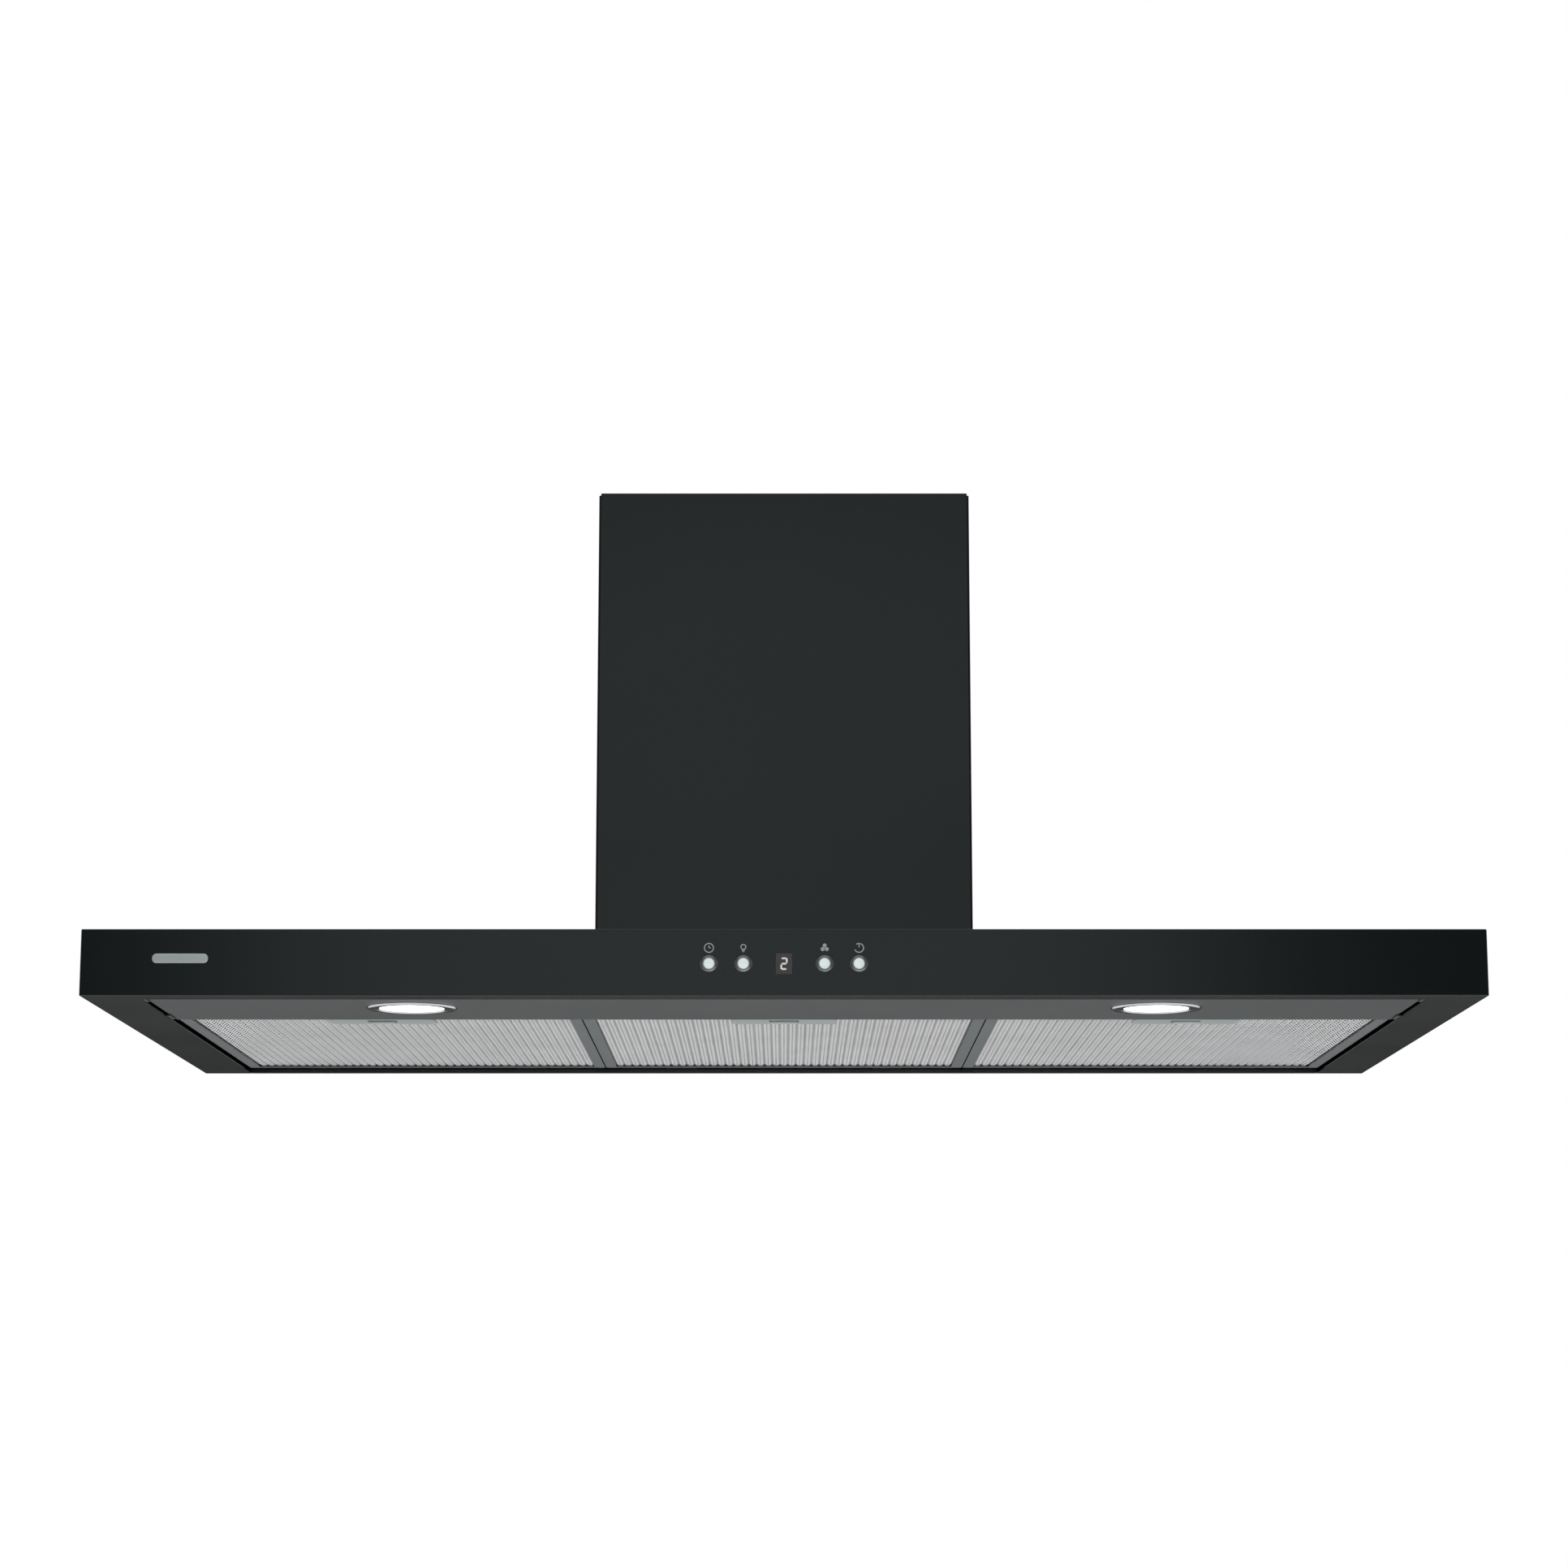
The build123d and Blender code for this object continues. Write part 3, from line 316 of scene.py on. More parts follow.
def new_group(name, inputs, outputs):
    """A shader node group with float inputs (name, default) and float outputs (name)."""
    tree = bpy.data.node_groups.new(name, "ShaderNodeTree")
    for title, default in inputs:
        socket = tree.interface.new_socket(title, in_out="INPUT", socket_type="NodeSocketFloat")
        socket.default_value = default
    for title in outputs:
        tree.interface.new_socket(title, in_out="OUTPUT", socket_type="NodeSocketFloat")
    nodes = Nodes(tree)
    return nodes, nodes.add("NodeGroupInput"), nodes.add("NodeGroupOutput")


def object_point(nodes, scale):
    """Object coordinates, scaled."""
    place = nodes.add("ShaderNodeTexCoord")
    mapping = nodes.add("ShaderNodeMapping")
    mapping.inputs["Scale"].default_value = scale
    nodes.link(place.outputs["Object"], mapping.inputs["Vector"])
    return mapping.outputs["Vector"]


def grain_group():
    """Fine mottling at two sizes: Mottle is broad and soft, Peel is the fine orange-peel height."""
    inputs = (("Broad Scale", 9.0), ("Fine Scale", 900.0))
    nodes, given, result = new_group("paint grain", inputs, ("Mottle", "Peel"))
    point = object_point(nodes, (1, 1, 1))
    for title, scale, detail in (("Mottle", "Broad Scale", 3.0), ("Peel", "Fine Scale", 1.0)):
        noise = nodes.add("ShaderNodeTexNoise")
        noise.inputs["Detail"].default_value = detail
        nodes.link(given.outputs[scale], noise.inputs["Scale"])
        nodes.link(point, noise.inputs["Vector"])
        nodes.link(noise.outputs["Fac"], result.inputs[title])
    return nodes.tree


def brushed_group():
    """Long fine lines along X with faint smudges over them."""
    inputs = (("Line Scale", 400.0), ("Smudge Scale", 25.0))
    nodes, given, result = new_group("brushed lines", inputs, ("Lines", "Smudge"))
    lines = nodes.add("ShaderNodeTexNoise")
    lines.inputs["Detail"].default_value = 2.0
    nodes.link(object_point(nodes, (0.02, 1, 1)), lines.inputs["Vector"])
    nodes.link(given.outputs["Line Scale"], lines.inputs["Scale"])
    smudge = nodes.add("ShaderNodeTexNoise")
    smudge.inputs["Detail"].default_value = 3.0
    nodes.link(object_point(nodes, (1, 1, 1)), smudge.inputs["Vector"])
    nodes.link(given.outputs["Smudge Scale"], smudge.inputs["Scale"])
    nodes.link(lines.outputs["Fac"], result.inputs["Lines"])
    nodes.link(smudge.outputs["Fac"], result.inputs["Smudge"])
    return nodes.tree


def spangle_group():
    """Flat patches of differing tone, as zinc crystals leave, or specks in a moulding."""
    inputs = (("Patch Scale", 120.0), ("Speck Scale", 1500.0))
    nodes, given, result = new_group("spangle", inputs, ("Patch", "Speck"))
    cells = nodes.add("ShaderNodeTexVoronoi")
    nodes.link(object_point(nodes, (1, 1, 1)), cells.inputs["Vector"])
    nodes.link(given.outputs["Patch Scale"], cells.inputs["Scale"])
    tone = nodes.add("ShaderNodeRGBToBW")
    nodes.link(cells.outputs["Color"], tone.inputs[0])
    speck = nodes.add("ShaderNodeTexNoise")
    nodes.link(object_point(nodes, (1, 1, 1)), speck.inputs["Vector"])
    nodes.link(given.outputs["Speck Scale"], speck.inputs["Scale"])
    nodes.link(tone.outputs[0], result.inputs["Patch"])
    nodes.link(speck.outputs["Fac"], result.inputs["Speck"])
    return nodes.tree


GROUPS = {}


def effect(nodes, name, **values):
    """Places a shared effect in a material, with this material's own values."""
    makers = {"grain": grain_group, "brushed": brushed_group, "spangle": spangle_group}
    if name not in GROUPS:
        GROUPS[name] = makers[name]()
    node = nodes.add("ShaderNodeGroup", node_tree=GROUPS[name])
    for key, value in values.items():
        node.inputs[key].default_value = value
    return node


def new_material(name):
    """An empty Principled material: its node helper and its shader."""
    material = bpy.data.materials.new(name)
    material.use_nodes = True
    nodes = Nodes(material.node_tree)
    return material, nodes, material.node_tree.nodes["Principled BSDF"]


def tint(base, factor):
    return tuple(min(1.0, channel * factor) for channel in base)


def bump(nodes, shader, height, strength, distance):
    node = nodes.add("ShaderNodeBump")
    node.inputs["Strength"].default_value = strength
    node.inputs["Distance"].default_value = distance
    nodes.link(height, node.inputs["Height"])
    nodes.link(node.outputs["Normal"], shader.inputs["Normal"])


def paint(name, base, rough, peel=0.12, shine=0.5):
    """Powder coat: fine orange peel, soft mottling in tone and gloss."""
    material, nodes, shader = new_material(name)
    grain = effect(nodes, "grain", **{"Broad Scale": 7.0, "Fine Scale": 850.0})
    mottle = grain.outputs["Mottle"]
    nodes.link(nodes.blend(mottle, tint(base, 0.92), tint(base, 1.1)), shader.inputs["Base Color"])
    nodes.link(nodes.spread(mottle, rough[0], rough[1]), shader.inputs["Roughness"])
    shader.inputs["Specular IOR Level"].default_value = shine
    bump(nodes, shader, grain.outputs["Peel"], peel, 0.00005)
    return material


def metal(name, base, rough, lines=0.15, line_scale=400.0):
    """Rolled or brushed metal: fine lines in its height and gloss, faint smudges in its tone."""
    material, nodes, shader = new_material(name)
    brushed = effect(nodes, "brushed", **{"Line Scale": line_scale, "Smudge Scale": 22.0})
    smudge = brushed.outputs["Smudge"]
    nodes.link(nodes.blend(smudge, tint(base, 0.88), tint(base, 1.08)), shader.inputs["Base Color"])
    nodes.link(nodes.spread(brushed.outputs["Lines"], rough[0], rough[1]), shader.inputs["Roughness"])
    shader.inputs["Metallic"].default_value = 1.0
    bump(nodes, shader, brushed.outputs["Lines"], lines, 0.00004)
    return material


def zinc(name, base, rough, patch_scale=110.0):
    """Galvanised or plated steel: crystal patches of differing tone and gloss."""
    material, nodes, shader = new_material(name)
    spangle = effect(nodes, "spangle", **{"Patch Scale": patch_scale, "Speck Scale": 1300.0})
    patch = spangle.outputs["Patch"]
    nodes.link(nodes.blend(patch, tint(base, 0.82), tint(base, 1.12)), shader.inputs["Base Color"])
    nodes.link(nodes.spread(patch, rough[0], rough[1]), shader.inputs["Roughness"])
    shader.inputs["Metallic"].default_value = 1.0
    bump(nodes, shader, spangle.outputs["Speck"], 0.08, 0.00003)
    return material


def moulding(name, base, rough, speck_scale=1600.0, sheen=0.0):
    """Moulded plastic or rubber: a fine spark-eroded grain and slight tone changes."""
    material, nodes, shader = new_material(name)
    spangle = effect(nodes, "spangle", **{"Patch Scale": 14.0, "Speck Scale": speck_scale})
    grain = effect(nodes, "grain", **{"Broad Scale": 12.0, "Fine Scale": speck_scale})
    nodes.link(nodes.blend(grain.outputs["Mottle"], tint(base, 0.85), tint(base, 1.15)),
               shader.inputs["Base Color"])
    nodes.link(nodes.spread(grain.outputs["Mottle"], rough[0], rough[1]), shader.inputs["Roughness"])
    shader.inputs["Sheen Weight"].default_value = sheen
    bump(nodes, shader, spangle.outputs["Speck"], 0.25, 0.00006)
    return material


def glowing(name, base, glow, power):
    """A lit surface whose glow fades a little in soft patches."""
    material, nodes, shader = new_material(name)
    grain = effect(nodes, "grain", **{"Broad Scale": 60.0, "Fine Scale": 700.0})
    nodes.link(nodes.blend(grain.outputs["Mottle"], tint(base, 0.95), base), shader.inputs["Base Color"])
    nodes.link(nodes.blend(grain.outputs["Mottle"], tint(glow, 0.9), glow), shader.inputs["Emission Color"])
    shader.inputs["Emission Strength"].default_value = power
    shader.inputs["Roughness"].default_value = 0.4
    bump(nodes, shader, grain.outputs["Peel"], 0.1, 0.00005)
    return material


def finish_node(node, material):
    """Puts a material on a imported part."""
    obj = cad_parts[node]
    obj.data.materials.clear()
    obj.data.materials.append(material)


# ------------------------------------------------------------------ operators


class HOOD_OT_finish_casing(bpy.types.Operator):
    """Paint the canopy, its rear panel, the chimney and the lamp strip, and finish the badge plate"""

    bl_idname = "hood.finish_casing"
    bl_label = "Finish Casing"

    def execute(self, context):
        settings = context.scene.hood_finish
        black = paint("casing paint", tuple(settings.paint), (0.17, 0.22), shine=0.3)
        for node in ("canopy_shell", "rear_panel", "lower_chimney", "upper_chimney"):
            finish_node(node, black)
        strip = paint("lamp strip paint", tuple(settings.strip), (0.3, 0.36), peel=0.15, shine=0.3)
        finish_node("lamp_panel", strip)
        badge = metal("badge satin", (0.72, 0.74, 0.75), (0.25, 0.4), lines=0.2, line_scale=700.0)
        finish_node("badge", badge)
        return {"FINISHED"}


class HOOD_OT_finish_frame(bpy.types.Operator):
    """Finish the wall frame, the brackets, the clips and the screws"""

    bl_idname = "hood.finish_frame"
    bl_label = "Finish Frame and Screws"

    def execute(self, context):
        galvanised = zinc("galvanised sheet", (0.5, 0.51, 0.52), (0.3, 0.5))
        for node in ("wall_frame", "chimney_bracket", "chimney_clips", "motor_bracket", "capacitor_clamp"):
            finish_node(node, galvanised)
        plated = zinc("plated screws", (0.6, 0.59, 0.56), (0.22, 0.36), patch_scale=500.0)
        for node in ("casing_screws", "bracket_screws", "blower_screws"):
            finish_node(node, plated)
        return {"FINISHED"}


class HOOD_OT_finish_blower(bpy.types.Operator):
    """Finish the blower, its motor, the electrical parts and their leads"""

    bl_idname = "hood.finish_blower"
    bl_label = "Finish Blower"

    def execute(self, context):
        black = moulding("blower moulding", (0.022, 0.022, 0.024), (0.45, 0.6))
        for node in ("scroll_left", "scroll_right", "outlet_collar", "control_box", "cable_gland"):
            finish_node(node, black)
        finish_node("impeller", moulding("impeller moulding", (0.045, 0.045, 0.05), (0.38, 0.5)))
        flap = moulding("flap moulding", (0.1, 0.1, 0.105), (0.4, 0.55))
        finish_node("flap_front", flap)
        finish_node("flap_rear", flap)
        finish_node("motor_body", paint("motor enamel", (0.06, 0.06, 0.065), (0.35, 0.5)))
        ground = metal("ground steel", (0.55, 0.55, 0.55), (0.15, 0.3), lines=0.1, line_scale=900.0)
        finish_node("motor_shaft", ground)
        finish_node("flap_pin", ground)
        pale = moulding("pale moulding", (0.7, 0.7, 0.67), (0.4, 0.55))
        for node in ("led_driver", "terminal_box", "terminal_lid", "capacitor"):
            finish_node(node, pale)
        rubber = moulding("mount rubber", (0.018, 0.018, 0.018), (0.7, 0.85), sheen=0.2)
        finish_node("rubber_mounts", rubber)
        finish_node("internal_leads", moulding("lead sheath", (0.05, 0.05, 0.052), (0.4, 0.5)))
        resist = moulding("board resist", (0.015, 0.13, 0.05), (0.25, 0.4), speck_scale=900.0)
        finish_node("control_board", resist)
        finish_node("display_module", moulding("display block", (0.03, 0.03, 0.03), (0.35, 0.45)))
        return {"FINISHED"}


class HOOD_OT_weave_filters(bpy.types.Operator):
    """Model the expanded aluminium mesh of the three grease filters and finish their frames"""

    bl_idname = "hood.weave_filters"
    bl_label = "Weave Filters"

    # How much of a strand's width the inset takes from each diamond beside it.
    inset_share = 0.72
    # A diamond cut down to less than this share of a whole one is removed.
    sliver_share = 0.3

    def sheet(self, name, low, high, across, along, strand, thick, knuckle, level, notch):
        """One expanded sheet: a turned grid cut to size, its diamonds opened by an inset.

        The latch's notch (half width, depth) is left out of its front edge.
        """
        centre = (low + high) / 2
        middle = (centre.x, centre.y, level)
        span = max(high.x - low.x, (high.y - low.y) * across / along)
        cells = math.ceil(span / across) * 2 + 2
        side = cells * across / math.sqrt(2)
        clear_selection()
        bpy.ops.mesh.primitive_grid_add(x_subdivisions=cells, y_subdivisions=cells, size=side,
                                        location=middle)
        obj = begin(name)
        edit()
        bpy.ops.mesh.select_all(action="SELECT")
        bpy.ops.transform.rotate(value=math.pi / 4, orient_axis="Z", center_override=middle)
        bpy.ops.transform.resize(value=(1, along / across, 1), center_override=middle)
        for point, normal in ((low, (-1, 0, 0)), (low, (0, -1, 0)), (high, (1, 0, 0)), (high, (0, 1, 0))):
            bpy.ops.mesh.select_all(action="SELECT")
            bpy.ops.mesh.bisect(plane_co=(point.x, point.y, level), plane_no=normal, clear_outer=True)
        crossings = along / 2
        pick(obj, "VERT", lambda co: round((co.y + obj.location.y - low.y) / crossings) % 2 == 0)
        bpy.ops.transform.translate(value=(0, 0, -knuckle))
        if pick(obj, "FACE", lambda face: face.calc_area() < self.sliver_share * across * along / 2):
            bpy.ops.mesh.delete(type="FACE")
        bpy.ops.mesh.select_all(action="SELECT")
        bpy.ops.mesh.inset(thickness=strand * self.inset_share, use_individual=True, use_even_offset=False)
        bpy.ops.mesh.delete(type="FACE")
        half, deep = notch
        back = low.y + deep - obj.location.y
        if pick(obj, "FACE", lambda face: abs(face.calc_center_median().x) < half
                and face.calc_center_median().y < back):
            bpy.ops.mesh.delete(type="FACE")
        done()
        apply_modifier(obj, "SOLIDIFY", thickness=thick, offset=0.0)
        return obj

    def execute(self, context):
        finish = context.scene.hood_finish
        size = context.scene.hood_mesh
        bright = metal("mesh aluminium", tuple(finish.mesh), (0.28, 0.42), lines=0.1, line_scale=300.0)
        channel = metal("channel aluminium", tuple(finish.channel), (0.32, 0.45))
        inset = 1.0 * MM
        notch = (13.0 * MM, 39.0 * MM)
        gap = 2.0 * MM
        reach = size.knuckle + size.sheet / 2
        fine = (size.across, size.along, size.strand)
        coarse = (size.across * 1.6, size.along * 1.5, size.strand * 1.8)
        first = None
        for side in SIDES:
            node = f"filter_{side}_mesh"
            low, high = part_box(node)
            low = low + Vector((inset, inset, 0))
            high = high - Vector((inset, inset, 0))
            if first is None:
                layers = [self.sheet(title, low, high, *cell, size.sheet, knuckle, level, notch)
                          for title, cell, knuckle, level in (
                              ("outer sheet", fine, size.knuckle, low.z + reach),
                              ("inner sheet", coarse, size.knuckle, low.z + reach + gap),
                              ("top sheet", coarse, -size.knuckle, high.z - reach))]
                weave = join(f"filter_{side}_weave", layers)
                settle(weave, 30.0)
                dress(weave, bright)
                first, first_low = weave, low
            else:
                weave = first.copy()
                weave.data = first.data.copy()
                context.scene.collection.objects.link(weave)
                weave.name = f"filter_{side}_weave"
                select_only(weave)
                edit()
                bpy.ops.mesh.select_all(action="SELECT")
                bpy.ops.transform.translate(value=low - first_low)
                done()
            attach(weave, f"{side}_filter")
            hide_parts(node)
            finish_node(f"filter_{side}_frame", channel)
        return {"FINISHED"}


class HOOD_OT_wind_latch_springs(bpy.types.Operator):
    """Finish the filters' latches and wind the springs behind their tongues"""

    bl_idname = "hood.wind_latch_springs"
    bl_label = "Wind Latch Springs"

    def spring(self, name, low, high):
        """A coil of wire that fills a box from front to back: a ring carried round the coil's axis."""
        wire, turns, steps = 0.3 * MM, 6, 24
        middle = (low + high) / 2
        clear_selection()
        bpy.ops.mesh.primitive_circle_add(vertices=10, radius=wire,
                                          location=(middle.x, low.y + wire, middle.z))
        obj = begin(name)
        edit()
        bpy.ops.mesh.select_all(action="SELECT")
        bpy.ops.transform.translate(value=((high.x - low.x) / 2 - wire, 0, 0))
        done()
        apply_modifier(obj, "SCREW", axis="Y", angle=math.tau, iterations=turns, steps=steps,
                       render_steps=steps, screw_offset=(high.y - low.y - 2 * wire) / turns)
        edit()
        bpy.ops.mesh.select_all(action="SELECT")
        bpy.ops.mesh.fill_holes(sides=0)
        done()
        outward(obj)
        return obj

    def execute(self, context):
        satin = tuple(context.scene.hood_finish.latch)
        plate = metal("latch satin", satin, (0.35, 0.5), lines=0.12, line_scale=500.0)
        wire = metal("spring wire", (0.5, 0.5, 0.52), (0.2, 0.3), lines=0.05, line_scale=1500.0)
        for side in SIDES:
            finish_node(f"filter_{side}_latch_plate", plate)
            finish_node(f"filter_{side}_latch_tongue", plate)
            node = f"filter_{side}_latch_spring"
            low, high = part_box(node)
            spring = self.spring(f"filter_{side}_wound_spring", low, high)
            settle(spring, 60.0)
            dress(spring, wire)
            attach(spring, f"{side}_filter")
            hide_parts(node)
            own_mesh(spring)
        return {"FINISHED"}


class HOOD_OT_turn_lamps(bpy.types.Operator):
    """Turn the lamps' chrome rings and frosted lenses, and finish their housings"""

    bl_idname = "hood.turn_lamps"
    bl_label = "Turn Lamps"

    def execute(self, context):
        chrome = metal("lamp chrome", (0.6, 0.62, 0.64), (0.12, 0.2), lines=0.03, line_scale=200.0)
        frosted = glowing("frosted lens", (0.9, 0.9, 0.88), (1.0, 0.99, 0.98), 1.7)
        cast = metal("cast housing", (0.3, 0.31, 0.32), (0.4, 0.55), lines=0.2, line_scale=250.0)
        board = moulding("lamp board", (0.75, 0.75, 0.72), (0.35, 0.5))
        proud = 1.3 * MM
        ring = ((24.35, 0.0), (29.9, 0.0), (30.0, -0.3), (29.6, -0.9), (28.9, -1.25), (27.6, -1.3),
                (25.0, -1.3), (23.4, -1.2), (22.0, -0.9), (21.5, -0.55), (21.5, 0.4), (23.2, 0.4),
                (23.2, 5.9), (24.35, 5.9), (24.35, 0.0))
        glass = ((0.0, -1.6), (6.0, -1.52), (12.0, -1.25), (17.0, -0.88), (20.0, -0.55), (20.7, -0.3),
                 (20.8, 0.5), (22.8, 0.5), (22.8, 1.9), (0.0, 1.9))
        for side in LAMP_SIDES:
            low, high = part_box(f"lamp_{side}_trim")
            centre = Vector(((low.x + high.x) / 2, (low.y + high.y) / 2, low.z + proud))
            for name, profile, material, slot in (("trim", ring, chrome, "chrome_trim"),
                                                  ("lens", glass, frosted, "lamp_glass")):
                points = [(radius * MM, height * MM) for radius, height in profile]
                obj = spun(f"lamp_{side}_turned_{name}", points, centre, (0, 0, 1), 96)
                settle(obj, 50.0)
                dress(obj, material)
                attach(obj, "hood")
                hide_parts(f"lamp_{side}_{name}")
            finish_node(f"lamp_{side}_housing", cast)
        finish_node("lamp_boards", board)
        return {"FINISHED"}


class HOOD_OT_turn_buttons(bpy.types.Operator):
    """Turn the four push buttons, each with a bright face in a rim darkened with painted shade"""

    bl_idname = "hood.turn_buttons"
    bl_label = "Turn Buttons"

    def outside(self, point, axis):
        """Whether a point is in the rim round the button's bright face, the rim that is darkened with painted
        shade.
        """
        return math.hypot(point.x - axis.x, point.z - axis.z) > BUTTON_FACE_R

    def execute(self, context):
        tone = tuple(context.scene.hood_finish.silver)
        silver = metal("button silver", tone, (0.2, 0.3), lines=0.05, line_scale=900.0)
        # The rim is the same silver as the face, made darker as painted shade for the grey that the rim shows
        # under the light.
        rim = metal("button painted shade rim", (0.24, 0.25, 0.25), (0.25, 0.35), lines=0.05, line_scale=900.0)
        cap = ((0.0, 0.0), (1.5, 0.01), (2.6, 0.035), (3.4, 0.07), (3.5, 0.45), (4.2, 0.5),
               (4.9, 0.56), (5.2, 0.8), (5.3, 1.1), (5.3, 2.7), (6.7, 2.7), (6.7, 3.7),
               (2.0, 3.7), (2.0, 9.5), (0.0, 9.5))
        for name in BUTTONS:
            low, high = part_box(f"button_{name}")
            centre = ((low.x + high.x) / 2, low.y, (low.z + high.z) / 2)
            points = [(radius * MM, height * MM) for radius, height in cap]
            obj = spun(f"button_{name}_cap", points, centre, (0, 1, 0), 64)
            settle(obj, 40.0)
            dress(obj, silver)
            obj.data.materials.append(rim)
            axis = Vector((centre[0], 0, centre[2]))
            edit()
            pick(obj, "FACE", lambda face: self.outside(face.calc_center_median(), axis))
            obj.active_material_index = 1
            bpy.ops.object.material_slot_assign()
            done()
            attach(obj, f"{name}_button")
            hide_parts(f"button_{name}")
        return {"FINISHED"}


class HOOD_OT_light_display(bpy.types.Operator):
    """Finish the display window and build its lit seven-segment digit"""

    bl_idname = "hood.light_display"
    bl_label = "Light Display"

    def execute(self, context):
        smoked = moulding("smoked window", (0.052, 0.044, 0.048), (0.3, 0.4), speck_scale=400.0)
        finish_node("display_window", smoked)
        white = glowing("digit white", (0.6, 0.58, 0.56), (1.0, 0.95, 0.92), 0.28)
        low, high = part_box("display_window")
        middle = Vector(((low.x + high.x) / 2, low.y, (low.z + high.z) / 2))
        wide, tall, bar, deep = 4.6 * MM, 8.0 * MM, 1.1 * MM, 0.12 * MM
        gap, corner = 0.12 * MM, bar * 0.42
        across = (wide - 2 * gap - bar, bar)
        upright = (bar, tall / 2 - bar / 2 - 2 * gap)
        lit = (
            (0, tall / 2 - bar / 2, *across),
            (0, 0, *across),
            (0, bar / 2 - tall / 2, *across),
            (wide / 2 - bar / 2, tall / 4, *upright),
            (bar / 2 - wide / 2, -tall / 4, *upright),
        )
        pieces = []
        for x, z, width, height in lit:
            clear_selection()
            bpy.ops.mesh.primitive_cube_add(size=1, location=middle + Vector((x, -deep / 2, z)),
                                            scale=(width, deep, height))
            segment = begin("segment")
            bpy.ops.object.transform_apply(location=True, rotation=True, scale=True)
            edit()
            half = (width if width > height else height) / 2
            along = 0 if width > height else 2
            centre = (middle.x + x, 0, middle.z + z)[along]
            pick(segment, "EDGE", lambda co: abs(co[along] - centre) > half * 0.98
                 and abs(co.y - (middle.y - deep / 2)) < deep * 0.1)
            bpy.ops.mesh.bevel(offset=corner, segments=1, affect="EDGES")
            done()
            pieces.append(segment)
        digit = join("display_digit", pieces)
        settle(digit, 20.0)
        dress(digit, white)
        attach(digit, "hood")
        return {"FINISHED"}


class HOOD_OT_print_icons(bpy.types.Operator):
    """Build the four printed icons above the buttons"""

    bl_idname = "hood.print_icons"
    bl_label = "Print Icons"

    def disc(self, place, radius, inner=0.0, start=0.0, turn=math.tau):
        """A flat ring, or part of one, in the plane of the front face."""
        steps = 40
        direction = Vector((math.cos(start), 0, math.sin(start)))
        obj = dot("ring", place + direction * inner)
        edit()
        bpy.ops.mesh.select_all(action="SELECT")
        bpy.ops.mesh.extrude_vertices_move(
            TRANSFORM_OT_translate={"value": direction * (radius - inner)})
        bpy.ops.mesh.select_all(action="SELECT")
        bpy.ops.mesh.spin(steps=steps, angle=turn, center=place, axis=(0, -1, 0))
        bpy.ops.mesh.select_all(action="SELECT")
        bpy.ops.mesh.remove_doubles(threshold=1e-6)
        done()
        return obj

    def bar(self, place, width, height):
        """A flat bar in the plane of the front face."""
        clear_selection()
        bpy.ops.mesh.primitive_plane_add(size=1, location=place, rotation=(math.pi / 2, 0, 0))
        obj = begin("bar")
        edit()
        bpy.ops.mesh.select_all(action="SELECT")
        bpy.ops.transform.resize(value=(width, 1, height), center_override=place)
        done()
        return obj

    def shapes(self, name, place):
        """The flat outlines of one icon."""
        line = 0.65 * MM
        big = 3.2 * MM
        if name == "timer":
            return [self.disc(place, big, big - line),
                    self.bar(place + Vector((0, 0, 0.75 * MM)), line, 1.5 * MM),
                    self.bar(place + Vector((0.55 * MM, 0, 0)), 1.1 * MM, line)]
        if name == "lamp":
            bulb = place + Vector((0, 0, 0.6 * MM))
            return [self.disc(bulb, 1.9 * MM, 1.9 * MM - line),
                    self.bar(place + Vector((0, 0, -1.7 * MM)), 1.7 * MM, 0.8 * MM),
                    self.bar(place + Vector((0, 0, -2.5 * MM)), 1.2 * MM, 0.4 * MM)]
        if name == "fan":
            blades = [self.disc(place, 0.6 * MM)]
            for third in range(3):
                angle = math.radians(90 + 120 * third)
                middle = place + Vector((math.cos(angle), 0, math.sin(angle))) * 1.55 * MM
                blades.append(self.disc(middle, 1.25 * MM))
            return blades
        half_gap = 38
        ring = self.disc(place, big, big - line, math.radians(90 + half_gap),
                         math.tau - math.radians(2 * half_gap))
        return [ring, self.bar(place + Vector((0, 0, 1.7 * MM)), line, 2.6 * MM)]

    def execute(self, context):
        grey = tuple(context.scene.hood_finish.print_ink)
        ink = moulding("icon ink", grey, (0.45, 0.55), speck_scale=1800.0)
        proud, thick = 0.01 * MM, 0.06 * MM
        for name in BUTTONS:
            low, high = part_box(f"button_{name}")
            place = Vector(((low.x + high.x) / 2, FRONT_Y - proud, (low.z + high.z) / 2 + ICON_RISE))
            icon = join(f"icon_{name}", self.shapes(name, place))
            apply_modifier(icon, "SOLIDIFY", thickness=thick, offset=0.0)
            settle(icon, 20.0)
            dress(icon, ink)
            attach(icon, "hood")
        return {"FINISHED"}


